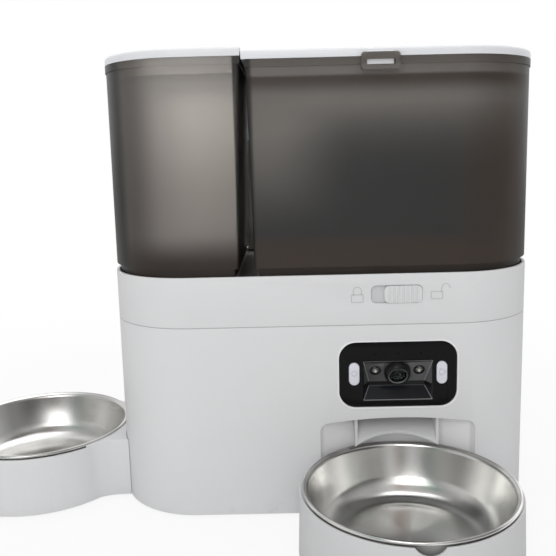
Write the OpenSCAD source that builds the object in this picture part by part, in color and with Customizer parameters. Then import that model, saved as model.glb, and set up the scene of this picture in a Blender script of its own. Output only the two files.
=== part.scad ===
// Automatic pet feeder with camera: a white body on the floor, a smoke brown water tank and food
// tank on its deck, a steel bowl in front under the spout and a second steel bowl at the left side.
// X runs to the right of the feeder, Y to its back and Z up. The front face looks along -Y.

/* [Body] */
// Width of the body
body_w = 320; // [312:1:330]
// Depth of the body
body_d = 156; // [154:1:162]
// Corner radius of the body in plan
corner_r = 63; // [58:1:66]
// Height of the seam between the base and the deck
base_top = 145; // [144:1:152]
// Height of the deck band above the seam
deck_h = 37; // [36:1:42]
// Wall of the white shells
wall = 2.5; // [2:0.1:3]
// Height of the body above the floor
foot_h = 1.5; // [1:0.1:2.5]

/* [Tanks] */
// Height of the food tank above its lower edge
tank_h = 144.3; // [120:1:170]
// Extra height of the water tank
water_rise = 2.4; // [1:0.1:5]
// Wall of both tanks
tank_wall = 2.5; // [2:0.1:3]
// Height of tank neck that shows above the deck
neck_show = 5.5; // [4:0.1:8]
// Left side of the food tank at its lower edge
food_left = -49.5; // [-50:0.5:-47]
// Lean of the food tank's left side over its height
food_lean = 2.4; // [0:0.1:2.6]
// Right side of the water tank at its lower edge
water_right = -59.6; // [-62:0.2:-59.2]
// Lean of the water tank's right side over its height
water_lean = 4.7; // [0:0.1:5]
// Thickness of the lids
lid_t = 6; // [5:0.1:8]
// Rounding of the lids' top edge
lid_round = 2.5; // [1:0.1:3]
// Depth of the lid skirts inside the tanks
skirt_h = 10.5; // [8:0.5:14]

/* [Dispenser] */
// Dispenser axis to the right of the body's middle
disp_x = 53; // [48:0.5:56]
// Dispenser axis behind the body's middle
disp_y = 12; // [11:0.5:14]
// Radius of the rotor well
well_r = 56; // [55:0.5:57]
// Height of the rotor vanes
vane_h = 22; // [16:1:23]
// Number of rotor vanes
vane_count = 6; // [4:1:8]
// Teeth of the driven gear
gear_teeth = 42; // [40:1:43]
// Teeth of the motor pinion
pinion_teeth = 14; // [13:1:16]
// Module of the gear pair
gear_module = 1.25; // [1.2:0.05:1.25]
// Inside width of the chute
chute_w = 58; // [58:1:62]
// Fall of the slide in degrees
slide_angle = 40; // [36:1:42]
// Height of the spout lip at its middle
lip_z = 60; // [58:0.5:63]

/* [Camera] */
// Width of the camera panel
panel_w = 85; // [82:0.5:90]
// Height of the camera panel
panel_h = 48.4; // [46:0.2:50]
// Corner radius of the camera panel
panel_r = 12; // [8:0.5:16]
// Height of the panel's middle above the floor
panel_z = 107.8; // [106:0.2:110]
// Diameter of the camera barrel
barrel_d = 18.6; // [16:0.2:19]
// Diameter of the infrared lamps
led_d = 5; // [4:0.5:5.5]
// Width of a button
button_w = 7.6; // [6:0.2:8]
// Height of a button
button_h = 16.8; // [14:0.2:18]
// Distance of each button from the panel's middle
button_dx = 31.8; // [31:0.2:33]
// Travel of a button
button_travel = 1; // [0.6:0.1:1.2]

/* [Bowls] */
// Radius of a bowl's rim
bowl_r = 72.4; // [70:0.2:73]
// Height of the bowl rim above the floor
rim_z = 48.8; // [46:0.2:50]
// Width of the bowl's flat rim
rim_w = 4.6; // [4:0.2:6]
// Depth of a bowl
bowl_depth = 38; // [30:1:40]
// Front bowl's middle ahead of the body's middle
bowl_y = -129; // [-130:0.5:-128]
// Gap between the side holder and the body
side_gap = 1.6; // [1.6:0.1:7]
// Half width of the side holder's neck
neck_half = 42; // [38:1:46]

/* [Lock] */
// Width of the lock slot
slot_w = 36.7; // [36:0.5:40]
// Height of the lock slot
slot_h = 13; // [11:0.5:13]
// Lock slot's middle below the deck's top
lock_drop = 14.8; // [14.5:0.1:16]
// Width of the lock knob
knob_w = 27; // [26.5:0.5:29]

/* [Hidden] */
$fn = 96;
eps = 0.01;
// Clearances: curved faces of different bodies, sliding pieces, running shafts
gap = 0.3;
loose = 1;
run = 0.05;

front = -body_d / 2;
back = body_d / 2;
deck_top = base_top + deck_h;

// Deck: the tanks stand in a shallow recess, the well hangs below it
recess = 3;
deck_t = 2;
deck_floor = deck_top - recess;
well_low = base_top + 1;
well_t = 2.5;
well_floor = well_low + well_t;
lip_h = 5;
lip_t = 2;

// Columns of the base and the screws in them
column_r = 4.5;
column_in_x = 30;
column_in_y = 38;
column_x = body_w / 2 - column_in_x;
column_y = body_d / 2 - column_in_y;
screw_r = 1.5;
pilot_r = screw_r + run;
through_r = screw_r + 0.2;
head_r = 2.9;
sink_r = head_r + 0.4;
head_h = 2;
deck_screw_grip = 12;
base_screw_l = 14;
plate_t = 3;
plate_top = foot_h + plate_t;

// Rubber feet of the body and of the bowl holders
foot_r = 9;
foot_sink = 1.5;
foot_in_x = 45;
foot_in_y = 33;
foot_x = body_w / 2 - foot_in_x;
foot_y = body_d / 2 - foot_in_y;
pad_r = 6;
pad_sink = 1;
pad_ring = 48;

// Slots in the base plate that let warm air out
vent_x = 10;
vent_y = 40;
vent_pitch = 9;
vent_w = 4;
vent_l = 26;

// Tanks
skin_z = deck_top + neck_show;
food_top = skin_z + tank_h;
water_top = food_top + water_rise;
neck_in = wall + loose;
neck_z = deck_floor + gap;
ledge_t = 2.5;
spigot_r = well_r - 2;
spigot_z = well_floor + gap + vane_h + 2;
funnel_angle = 38;
funnel_r = spigot_r - tank_wall;
rim_h = 5;
rim_out = 0.7;
rib_edge = food_left - 5.5;
rib_y = 58;
rib_low = deck_top + 1;
rib_top = skin_z + 92;
lid_top_t = 2.4;
skirt_t = 2;
skirt_in = tank_wall + loose;
skirt_gap_w = 5;
skirt_gap_dx = 51.5;
lid_slit = 0.8;
lid_over = food_left - food_lean - water_right - water_lean - lid_slit;
seal_h = 2;
seal_drop = 2;
seal_out = tank_wall + 0.4;
seal_in = skirt_in + 0.8;

// Rear hinge of the food lid
hinge_r = 3.2;
hinge_pin_r = 1.5;
hinge_y = back + hinge_r + 0.6;
hinge_z = food_top + 1.2;
hinge_x = (food_left + body_w / 2 - corner_r) / 2;
hinge_dx = 45;
knuckle_l = 9;

// Latch loop on the food tank's front
latch_x = 40.6;
latch_w = 26.4;
latch_low = food_top - 8.8;
latch_high = food_top + 2.7;
latch_t = 2.2;
latch_off = 2;
latch_side = 3.3;
latch_bar = 2.8;
latch_window = 4.1;
latch_r = 2.2;

// Lock between the deck and the food tank
lock_z = deck_top - lock_drop;
slot_x = disp_x - 1;
slot_r = 4;
knob_out = 1.4;
rib_pitch = 3.2;
rib_d = 0.8;
lock_travel = slot_w - knob_w - 2 * gap;
knob_right = slot_x + slot_w / 2 - gap;
knob_left = knob_right - knob_w;
slider_t = 2;
slider_rim = 3;
plate_left = knob_left - lock_travel - slider_rim;
plate_right = knob_right + slider_rim;
slider_back = front + wall + gap + slider_t;
bolt_h = 5;
bolt_d = 4;
bolt_l = 16;
bolt_root = 6;
bolt_y = slider_back + 2.8;
bolt_tip = knob_left - 5;
tab_t = 3;
tab_x = bolt_tip - loose - tab_t;
tab_y = front + neck_in + tank_wall - 0.8;
tab_d = 9;
tab_room = 0.6;
bolt_room = 0.8;
rail_t = 1.8;
rail_x0 = tab_x + tab_t + 6.5;
rail_x1 = plate_right + loose;

// Gear pair under the well, and the motor behind the chute
gear_t = 8;
gear_hole_r = 4.5;
gear_r = gear_module * gear_teeth / 2;
pinion_r = gear_module * pinion_teeth / 2;
centre_gap = gear_r + pinion_r;
mesh_angle = 55;
motor_x = disp_x + centre_gap * cos(mesh_angle);
motor_y = disp_y + centre_gap * sin(mesh_angle);
backlash = 0.15;
shaft_r = 4;
motor_shaft_r = 3;
case_t = 2;
case_room = 17.5;
case_low = well_low - case_room - case_t;
gear_z = case_low + case_t + 3;
case_gear_r = gear_r + gear_module + 1;
case_pinion_r = pinion_r + gear_module + 1;
boss_r = 8;
boss_h = 6;
gearbox_r = 18;
gearbox_h = 20;
motor_r = 13.5;
motor_h = 34;
hub_r = 14;
hub_top = spigot_z + 6;
vane_t = 3;

// Outlet in the well floor and the chute below it
out_in = case_gear_r + case_t + 3.5;
out_out = well_r - 1.5;
out_half = 31;
chute_t = 2;
chute_back = disp_y - out_in + 0.5;
chute_front = disp_y - out_out - 0.5;
chute_gap = 16;
flange_w = 5;
lip_r = 64;
lip_y = bowl_y + lip_r;

// Niche round the back of the front holder
holder_top_r = bowl_r + 1.2;
holder_low_r = bowl_r + 2.6;
niche_r = holder_low_r + 2.7;
side_x = -body_w / 2 - holder_low_r - side_gap;
niche_h = 75;
niche_side = 1.8;
niche_half = sqrt(niche_r * niche_r - (front - bowl_y) * (front - bowl_y)) - niche_side;
niche_round = 7;
arch_r = 360;

// Holders
holder_top = rim_z - 3.5;
holder_t = 2.5;
notch_r = 10.9;
notch_drop = 5;
tongue_w = 24;
tongue_h = 5;
tongue_l = 6;
tongue_z = 22;
fillet_r = 35;
bowl_t = 0.9;
bead_r = 1.6;

// Camera
panel_face = front + 0.4;
panel_t = wall + 0.1;
panel_flange = 3;
panel_back = front + wall + gap + 2;
recess_w = 50;
fold_w = 41;
recess_high = 9.8;
recess_low = 19.2;
fold_drop = 7.6;
fold_h = 3.2;
recess_d = 8;
block_rim = 3;
block_w = recess_w + 2.4;
block_back = panel_face + recess_d + 2.2;
tilt = atan(recess_d / (recess_high + fold_drop));
lens_dz = 0.8;
lens_y = panel_face + recess_d * (recess_high - lens_dz) / (recess_high + fold_drop);
barrel_out = 5.5;
barrel_in = 9.6;
lens_r = barrel_d / 2 - 3.2;
led_dx = 16;
led_dz = 1.8;
led_y = panel_face + recess_d * (recess_high - led_dz) / (recess_high + fold_drop);
led_hole_r = led_d / 2 + 1.7;
led_sink = 1.5;
board_y = block_back + 7.6;
board_t = 1.6;
board_w = 78;
board_low = panel_z - 13;
board_high = panel_z + 20;
post_r = 2.5;
post_in = 3;
post_high = 17;
post_dx = 20;
post_low = 10;
sensor_w = 16;
sensor_h = 14;
sensor_t = 2;
sensor_drop = 6;
button_dz = 0.8;
button_face = panel_face - 0.8;
button_back = panel_back + gap;
button_stem_r = 2;
switch_h = 3.6;
switch_w = 6;
pinhole_r = 0.7;
pinhole_dx = 16.4;
pinhole_dz = 15.5;

// Water parts
water_in = 53;
water_x = water_in - body_w / 2;
socket_r = 16;
socket_low = base_top + 5;
outlet_r = 13;
outlet_z = deck_floor - 9;
cap_r = socket_r - 1;
cap_low = socket_low + 8;
cap_t = 2.5;
cap_high = outlet_z + 5;
stem_r = 2.2;
stem_low = cap_low - 1;
disc_r = 6;
disc_z = cap_low + cap_t + 4.5;
disc_t = 2.5;
spring_r = 4;
spring_wire = 0.5;
spring_turns = 4;
spring_low = disc_z + disc_t + gap;
bridge_low = spring_low + 8;
bridge_t = 2;
nipple_r = 3.2;
nipple_bore = 1.8;
nipple_l = 8;
nipple_x = water_x - 9;
tube_t = 1.4;
shelf_z = 66;
gusset_h = 24;
pump_w = 32;
pump_d = 26;
pump_h = 26;
pump_top = shelf_z + wall + pump_h;
spray_z = shelf_z + wall + 12;
spray_out = 4;
spray_r = 4.5;

// Boards at the bottom and the power inlet in the rear wall
power_x = -60;
main_w = 80;
main_d = 60;
main_z = plate_top + 8;
main_y = back - wall - 10 - main_d / 2;
main_post_in = 5;
part_in = 10;
chip_w = 16;
chip_t = 2;
relay_w = 20;
relay_d = 12;
relay_h = 11;
tall_can_r = 5;
tall_can_h = 14;
low_can_r = 4;
low_can_h = 10;
jack_w = 10;
jack_h = 11;
jack_l = 14;
jack_r = 3.2;
jack_z = main_z + board_t + jack_h / 2;

// The origin lies under the middle of the whole object
x_low = side_x - holder_low_r;
x_high = body_w / 2;
y_low = bowl_y - holder_low_r;
y_high = hinge_y + hinge_r;
shift = [-(x_low + x_high) / 2, -(y_low + y_high) / 2, 0];

// Shared shapes

module placed() {
    translate(shift) children();
}

module rise(low, high) {
    translate([0, 0, low]) linear_extrude(high - low) children();
}

// Extrudes an outline drawn in X and Z from one Y to another
module along_y(low, high) {
    translate([0, high, 0]) rotate([90, 0, 0]) linear_extrude(high - low) children();
}

// Extrudes an outline drawn in Y and Z to both sides of X
module along_x(width) {
    rotate([90, 0, 90]) linear_extrude(width, center = true) children();
}

module round_rect(w, d, r) {
    square([w - 2 * r, d], center = true);
    square([w, d - 2 * r], center = true);
    for (sx = [-1, 1], sy = [-1, 1])
        translate([sx * (w / 2 - r), sy * (d / 2 - r)]) circle(r);
}

module pill(w, h) {
    square([w, h - w], center = true);
    for (s = [-1, 1])
        translate([0, s * (h - w) / 2]) circle(w / 2);
}

module body_outline(inset = 0) {
    round_rect(body_w - 2 * inset, body_d - 2 * inset, corner_r - inset);
}

module body_ring(low, high, outer, inner) {
    difference() {
        rise(low, high) body_outline(outer);
        rise(low - 1, high + 1) body_outline(inner);
    }
}

module at_columns() {
    for (sx = [-1, 1], sy = [-1, 1])
        translate([sx * column_x, sy * column_y, 0]) children();
}

module screw(length) {
    cylinder(h = length, r = screw_r);
    translate([0, 0, length]) cylinder(h = head_h, r = head_r);
}

// Base: shell, niche, plate and feet

// Points of an arc about a centre, from one angle to another
function arc(c, r, from, to, n = 8) =
    [for (i = [0 : n]) let (a = from + (to - from) * i / n) c + r * [cos(a), sin(a)]];

// Mouth of the niche: straight sides and round upper corners under a low arch
module arch(grow) {
    half = niche_half + grow;
    corner = niche_round + grow;
    high_r = arch_r + grow;
    mid_z = niche_h - arch_r;
    mid_x = half - corner;
    corner_z = mid_z + sqrt(pow(high_r - corner, 2) - mid_x * mid_x);
    lean = atan2(mid_x, corner_z - mid_z);
    crown = [for (i = [1 : 31]) let (a = lean * (1 - i / 16)) [high_r * sin(a), mid_z + high_r * cos(a)]];
    polygon(concat(
        [[-half, 0], [half, 0]],
        arc([mid_x, corner_z], corner, 0, 90 - lean),
        crown,
        arc([-mid_x, corner_z], corner, 90 + lean, 180)
    ));
}

// Space of the niche: a round pocket about the front holder under a low arch
module niche(grow) {
    intersection() {
        translate([disp_x, bowl_y, 0]) cylinder(h = base_top, r = niche_r + grow, $fn = 180);
        translate([disp_x, 0, 0]) along_y(bowl_y, bowl_y + 2 * niche_r) arch(grow);
    }
}

module panel_outline(grow) {
    round_rect(panel_w + 2 * grow, panel_h + 2 * grow, panel_r + grow);
}

module base_shell() color("whitesmoke") placed() difference() {
    union() {
        body_ring(foot_h, base_top, 0, wall);
        intersection() {
            rise(foot_h, base_top) body_outline(wall / 2);
            niche(wall);
        }
        at_columns() rise(plate_top, base_top - gap) circle(column_r);
        column_ribs();
        translate([disp_x, 0, panel_z]) along_y(front - 0.5, front + 1) panel_outline(1.5);
        pump_shelf();
    }
    niche(0);
    translate([disp_x, 0, panel_z]) along_y(front - 1, front + wall + 1) panel_outline(gap);
    chute_body(gap);
    at_columns() rise(foot_h, plate_top + base_screw_l) circle(pilot_r);
    at_columns() rise(base_top - deck_screw_grip - 1, base_top) circle(pilot_r);
    translate([disp_x, bowl_y + niche_r, tongue_z])
        cube([tongue_w + 2 * gap, 4 * wall, tongue_h + 2 * gap], center = true);
    translate([-body_w / 2, 0, tongue_z])
        cube([4 * wall, tongue_w + 2 * gap, tongue_h + 2 * gap], center = true);
    translate([-body_w / 2, 0, spray_z]) rotate([0, 90, 0])
        cylinder(h = 3 * wall, r = spray_r + run, center = true);
    translate([power_x, 0, jack_z]) along_y(back - wall - 1, back + 1) circle(jack_r + 1);
}

// Webs that tie each column to the rounded corner of the shell
module column_ribs() {
    mid_x = body_w / 2 - corner_r;
    mid_y = body_d / 2 - corner_r;
    aim = atan2(column_y - mid_y, column_x - mid_x);
    reach = corner_r - wall / 2;
    from = norm([column_x - mid_x, column_y - mid_y]);
    for (sx = [0, 1], sy = [0, 1])
        mirror([sx, 0, 0]) mirror([0, sy, 0]) translate([mid_x, mid_y, 0]) rotate(aim)
            rise(plate_top, base_top - lip_h - gap) translate([from, -wall / 2]) square([reach - from, wall]);
}

// Moulded shelf on the left wall that carries the pump, with a gusset below
module pump_shelf() {
    shelf_l = water_x + pump_w / 2 + body_w / 2 - wall / 2;
    translate([-body_w / 2 + wall / 2, -pump_d / 2, shelf_z]) cube([shelf_l, pump_d, wall]);
    along_y(-wall / 2, wall / 2)
        polygon([
            [-body_w / 2 + wall / 2, shelf_z - gusset_h],
            [-body_w / 2 + wall / 2, shelf_z + eps],
            [water_x + pump_w / 2, shelf_z + eps]
        ]);
}

module base_plate() color("gainsboro") placed() difference() {
    union() {
        rise(foot_h, plate_top) body_outline(wall + gap);
        for (sx = [-1, 1], sy = [-1, 1])
            translate([
                power_x + sx * (main_w / 2 - main_post_in),
                main_y + sy * (main_d / 2 - main_post_in),
                foot_h
            ]) cylinder(h = main_z - foot_h, r = post_r + 0.5);
    }
    translate([disp_x, bowl_y, 0]) cylinder(h = base_top, r = niche_r + wall + gap, $fn = 180);
    for (sx = [-1, 1], sy = [-1, 1])
        translate([sx * foot_x, sy * foot_y, 0]) cylinder(h = foot_h + foot_sink, r = foot_r + run);
    at_columns() translate([0, 0, -1]) cylinder(h = plate_top + 2, r = through_r);
    at_columns() translate([0, 0, -1]) cylinder(h = 1 + foot_h + head_h, r = sink_r);
    for (i = [-3 : 3])
        translate([vent_x + vent_pitch * i, vent_y, 0]) rise(0, plate_top + 1) pill(vent_w, vent_l);
}

module feet() color("dimgray") placed() {
    for (sx = [-1, 1], sy = [-1, 1])
        translate([sx * foot_x, sy * foot_y, 0]) cylinder(h = foot_h + foot_sink, r = foot_r);
}

module base_screws() color("silver") placed() at_columns()
    translate([0, 0, foot_h + head_h]) mirror([0, 0, 1]) translate([0, 0, -base_screw_l]) screw(base_screw_l);

module deck_screws() color("silver") placed() at_columns()
    translate([0, 0, base_top - deck_screw_grip])
        screw(deck_floor - head_h - gap - base_top + deck_screw_grip);

// Deck: band, floor, rotor well, lock slot and water socket

module outlet_sector() {
    reach = 2 * well_r;
    intersection() {
        difference() {
            circle(out_out);
            circle(out_in);
        }
        polygon([[0, 0], [-reach * sin(out_half), -reach * cos(out_half)],
            [reach * sin(out_half), -reach * cos(out_half)]]);
    }
}

module top_deck() color("whitesmoke") placed() difference() {
    union() {
        body_ring(base_top, deck_top, 0, wall);
        body_ring(base_top, base_top + 2, wall / 2, wall + gap + lip_t);
        body_ring(base_top - lip_h, base_top + 1, wall + gap, wall + gap + lip_t);
        rise(deck_floor - deck_t, deck_floor) body_outline(wall / 2);
        translate([disp_x, disp_y, 0]) rise(well_low, deck_floor) circle(well_r + wall, $fn = 144);
        translate([disp_x, disp_y, 0]) rise(well_low - 3, well_floor) circle(boss_r + 1);
        translate([water_x, 0, 0]) rise(socket_low, deck_floor) circle(socket_r + wall);
        translate([nipple_x, 0, 0]) rise(socket_low - nipple_l, socket_low + 1) circle(nipple_r);
        at_columns() rise(base_top, deck_floor) circle(column_r);
        lock_rails();
    }
    translate([disp_x, disp_y, 0]) rise(well_floor, deck_top + 1) circle(well_r, $fn = 144);
    translate([disp_x, disp_y, 0]) rise(well_low - 1, well_floor + 1) outlet_sector();
    translate([disp_x, disp_y, 0]) rise(well_low - 4, well_floor + 1) circle(shaft_r + run);
    difference() {
        translate([water_x, 0, 0]) rise(socket_low + wall, deck_top) circle(socket_r);
        translate([water_x, 0, 0]) rise(socket_low, stem_low - gap) circle(stem_r);
    }
    translate([nipple_x, 0, 0]) rise(socket_low - nipple_l - 1, socket_low + wall + 1) circle(nipple_bore);
    at_columns() rise(base_top - 1, deck_top) circle(through_r);
    at_columns() rise(deck_floor - head_h - gap, deck_top) circle(sink_r);
    translate([slot_x, 0, lock_z]) along_y(front - 1, front + wall + 1)
        round_rect(slot_w, slot_h, slot_r);
    translate([tab_x - tab_room, tab_y - tab_room, deck_floor - deck_t - 1])
        cube([tab_t + 2 * tab_room, tab_d + 2 * tab_room, deck_t + 2]);
}

// Two rails that keep the lock slider against the front wall
module lock_rails() {
    rail_y = slider_back + gap;
    high = lock_z + slot_h / 2 + 1.5 + gap;
    low = lock_z - slot_h / 2 - 1.5 - gap;
    translate([rail_x0, rail_y, high - 2])
        cube([rail_x1 - rail_x0, rail_t, deck_floor - deck_t / 2 - high + 2]);
    translate([rail_x0, rail_y, low - 2]) cube([rail_x1 - rail_x0, rail_t, 4]);
    translate([rail_x0, front + wall / 2, low - 2])
        cube([rail_x1 - rail_x0, rail_y + rail_t - front - wall / 2, 2]);
}

module lock_slider() color("gainsboro") placed() {
    knob_h = slot_h - 2 * gap;
    knob_x = (knob_left + knob_right) / 2;
    difference() {
        translate([knob_x, 0, lock_z]) along_y(front - knob_out, slider_back)
            round_rect(knob_w, knob_h, slot_r - gap);
        // Grip grooves across the knob
        for (i = [-3 : 3])
            translate([knob_x + rib_pitch * i, front - knob_out, lock_z])
                cube([rib_pitch / 2, 2 * rib_d, knob_h + 2], center = true);
    }
    // Plate that closes the slot at both ends of the knob's way
    translate([(plate_left + plate_right) / 2, 0, lock_z]) along_y(slider_back - slider_t, slider_back)
        square([plate_right - plate_left, slot_h + 3], center = true);
    translate([bolt_tip, bolt_y, lock_z - bolt_h / 2]) cube([bolt_l, bolt_d, bolt_h]);
    translate([bolt_tip + bolt_l - bolt_root, slider_back - eps, lock_z - bolt_h / 2])
        cube([bolt_root, bolt_y + bolt_d - slider_back, bolt_h]);
}

// Dispenser: rotor, gears, motor and chute

module rotor() color("lightsteelblue") placed() translate([disp_x, disp_y, 0]) difference() {
    low = well_floor + gap;
    union() {
        rise(low, low + vane_h) {
            circle(hub_r);
            for (i = [0 : vane_count - 1])
                rotate(i * 360 / vane_count + 30) {
                    translate([0, -vane_t / 2]) square([well_r - 0.7 - vane_t / 2, vane_t]);
                    translate([well_r - 0.7 - vane_t / 2, 0]) circle(vane_t / 2, $fn = 32);
                }
        }
        translate([0, 0, low + vane_h]) cylinder(h = hub_top - low - vane_h, r1 = hub_r, r2 = 5);
    }
    translate([0, 0, low - 1]) cylinder(h = vane_h + 1, r = shaft_r + run / 2);
}

module rotor_shaft() color("silver") placed() translate([disp_x, disp_y, 0])
    rise(case_low - boss_h + 2.3, well_floor + gap + vane_h - 1 - gap) circle(shaft_r);

// One tooth's outline: root, involute flank, tip and back down, for teeth on module m
function involute(base, t) = base * [cos(t) + t * PI / 180 * sin(t), sin(t) - t * PI / 180 * cos(t)];
function turn(p, a) = [p[0] * cos(a) - p[1] * sin(a), p[0] * sin(a) + p[1] * cos(a)];
function tooth(n, m) =
    let (pitch = m * n / 2, base = pitch * cos(20), tip = pitch + m, root = pitch - 1.25 * m,
        half = 90 / n - backlash / (2 * pitch) * 180 / PI + (tan(20) * 180 / PI - 20),
        last = sqrt(pow(tip / base, 2) - 1) * 180 / PI,
        first = root > base ? sqrt(pow(root / base, 2) - 1) * 180 / PI : 0,
        flank = [for (i = [0 : 4]) turn(involute(base, first + (last - first) * i / 4), -half)])
    concat(
        root > base ? [] : [root * [cos(half), -sin(half)]],
        flank,
        [for (i = [4 : -1 : 0]) [flank[i][0], -flank[i][1]]],
        root > base ? [] : [root * [cos(half), sin(half)]]
    );

module gear_outline(n) {
    polygon([for (i = [0 : n - 1]) for (p = tooth(n, gear_module)) turn(p, i * 360 / n)]);
}

module driven_gear() color("ivory") placed() translate([disp_x, disp_y, 0]) difference() {
    union() {
        rise(gear_z, gear_z + gear_t) rotate(mesh_angle) gear_outline(gear_teeth);
        rise(gear_z - 2, gear_z + gear_t + 1.5) circle(boss_r);
    }
    rise(gear_z - 3, gear_z + gear_t + 3) circle(shaft_r + run / 2);
    for (i = [0 : 5])
        rotate(60 * i) translate([(gear_r + boss_r) / 2, 0, 0])
            rise(gear_z - 1, gear_z + gear_t + 1) circle(gear_hole_r);
}

module pinion() color("silver") placed() translate([motor_x, motor_y, 0]) difference() {
    rise(gear_z - 0.5, gear_z + gear_t + 0.5) rotate(mesh_angle + 180 + 180 / pinion_teeth)
        gear_outline(pinion_teeth);
    rise(gear_z - 2, gear_z + gear_t + 2) circle(motor_shaft_r + run / 2);
}

module motor_shaft() color("silver") placed() translate([motor_x, motor_y, 0])
    rise(case_low - 8, gear_z + gear_t + 2) circle(motor_shaft_r);

module case_outline(grow) {
    link = case_pinion_r + grow;
    circle(case_gear_r + grow);
    translate([motor_x - disp_x, motor_y - disp_y]) circle(link);
    rotate(mesh_angle) translate([0, -link]) square([centre_gap, 2 * link]);
}

module gear_case() color("gainsboro") placed() translate([disp_x, disp_y, 0]) difference() {
    union() {
        rise(case_low, well_low) case_outline(case_t);
        rise(case_low - boss_h, case_low + 1) circle(boss_r);
    }
    rise(case_low + case_t, well_low + 1) case_outline(0);
    rise(case_low - boss_h + 2, case_low + case_t + 1) circle(shaft_r + run);
    translate([motor_x - disp_x, motor_y - disp_y, 0])
        rise(case_low - 1, case_low + case_t + 1) circle(motor_shaft_r + loose);
}

module gear_motor() color("darkgray") placed() translate([motor_x, motor_y, 0]) difference() {
    union() {
        rise(case_low - gearbox_h, case_low) circle(gearbox_r);
        rise(case_low - gearbox_h - motor_h, case_low - gearbox_h) intersection() {
            circle(motor_r);
            square([3 * motor_r, 1.6 * motor_r], center = true);
        }
        rise(case_low - gearbox_h - motor_h - 3, case_low - gearbox_h - motor_h) circle(5);
    }
    rise(case_low - 9, case_low + 1) circle(motor_shaft_r + run);
}

function slide_z(y) = lip_z + tan(slide_angle) * (y - lip_y);

// Chute in side view: a drop behind the camera, then a slide to the lip
module chute_body(grow) {
    head = chute_gap / cos(slide_angle);
    skin = chute_t / cos(slide_angle);
    far = bowl_y + 20;
    translate([disp_x, 0, 0]) along_x(chute_w + 2 * chute_t + 2 * grow) polygon([
        [chute_back + chute_t + grow, well_low],
        [chute_back + chute_t + grow, slide_z(chute_back + chute_t) - skin - grow],
        [far, slide_z(far) - skin - grow],
        [far, slide_z(far) + head + skin + grow],
        [chute_front - chute_t - grow, slide_z(chute_front - chute_t) + head + skin + grow],
        [chute_front - chute_t - grow, well_low]
    ]);
}

module chute() color("whitesmoke") placed() difference() {
    head = chute_gap / cos(slide_angle);
    far = bowl_y + 10;
    union() {
        difference() {
            chute_body(0);
            translate([disp_x, bowl_y, 0]) cylinder(h = base_top, r = lip_r, $fn = 180);
        }
        translate([disp_x, (chute_back + chute_front) / 2 - flange_w / 2, 0])
            rise(well_low - chute_t, well_low)
                square([
                    chute_w + 2 * chute_t + 2 * flange_w,
                    chute_back - chute_front + 2 * chute_t + flange_w
                ], center = true);
    }
    translate([disp_x, 0, 0]) along_x(chute_w) polygon([
        [chute_back, well_low + 1],
        [chute_back, slide_z(chute_back)],
        [far, slide_z(far)],
        [far, slide_z(far) + head],
        [chute_front, slide_z(chute_front) + head],
        [chute_front, well_low + 1]
    ]);
}

// Camera panel

// Folded recess: an upper face that looks down at the bowl, a narrow upright band and a lower face
module camera_recess() {
    deep = panel_face + recess_d;
    ahead = panel_face - 1;
    widen = (recess_w - fold_w) / 2 / recess_d;
    steep_high = (recess_high + fold_drop) / recess_d;
    steep_low = (recess_low - fold_drop - fold_h) / recess_d;
    intersection() {
        translate([disp_x, 0, panel_z]) along_x(recess_w + 10) polygon([
            [ahead, recess_high + steep_high],
            [deep, -fold_drop],
            [deep, -fold_drop - fold_h],
            [ahead, -recess_low - steep_low]
        ]);
        translate([disp_x, 0, panel_z - panel_h / 2]) linear_extrude(panel_h) polygon([
            [-recess_w / 2 - widen, ahead], [-fold_w / 2, deep],
            [fold_w / 2, deep], [recess_w / 2 + widen, ahead]
        ]);
    }
}

// Puts a piece on the recess's upper face, its axis along the view of the camera
module on_fold(dx, y, dz) {
    translate([disp_x + dx, y, panel_z + dz]) rotate([90 + tilt, 0, 0]) children();
}

module at_button(side) {
    translate([disp_x + side * button_dx, 0, panel_z + button_dz]) children();
}

module at_posts() {
    for (s = [-1, 1]) {
        translate([disp_x + s * (board_w / 2 - post_in), 0, panel_z + post_high]) children();
        translate([disp_x + s * post_dx, 0, panel_z - post_low]) children();
    }
}

module camera_bezel() color("black") placed() difference() {
    union() {
        translate([disp_x, 0, panel_z]) along_y(panel_face, panel_face + panel_t) panel_outline(0);
        translate([disp_x, 0, panel_z]) along_y(panel_back - 2, panel_back) panel_outline(panel_flange);
        translate([disp_x, 0, panel_z + (recess_high - recess_low) / 2]) along_y(panel_back - 1, block_back)
            square([block_w, recess_high + recess_low + 2 * block_rim], center = true);
        at_posts() along_y(panel_back - 1, board_y) circle(post_r);
    }
    camera_recess();
    on_fold(0, lens_y, lens_dz) cylinder(h = 6 * barrel_in, r = barrel_d / 2 + run, center = true);
    for (s = [-1, 1]) {
        on_fold(s * led_dx, led_y, led_dz) translate([0, 0, -led_sink]) cylinder(h = 4 * led_d, r = led_hole_r);
        on_fold(s * led_dx, led_y, led_dz) cylinder(h = 8 * led_d, r = led_d / 2 + run, center = true);
        at_button(s) along_y(panel_face - 1, panel_back + 1) pill(button_w + 2 * gap, button_h + 2 * gap);
    }
    for (i = [-1 : 1])
        translate([disp_x + i * pinhole_dx, 0, panel_z + pinhole_dz])
            along_y(panel_face - 1, panel_face + 1.2) circle(pinhole_r, $fn = 24);
}

module camera_barrel() color("black") placed() on_fold(0, lens_y, lens_dz) difference() {
    radius = barrel_d / 2;
    union() {
        translate([0, 0, -barrel_in]) cylinder(h = barrel_in + barrel_out - 2, r = radius);
        translate([0, 0, barrel_out - 2 - eps]) cylinder(h = 2, r1 = radius, r2 = radius - 1.6);
    }
    translate([0, 0, barrel_out - 2.6]) cylinder(h = 5, r1 = lens_r + 0.1, r2 = lens_r + 3.2);
    translate([0, 0, barrel_out - 6]) cylinder(h = 8, r = lens_r + run);
}

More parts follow.
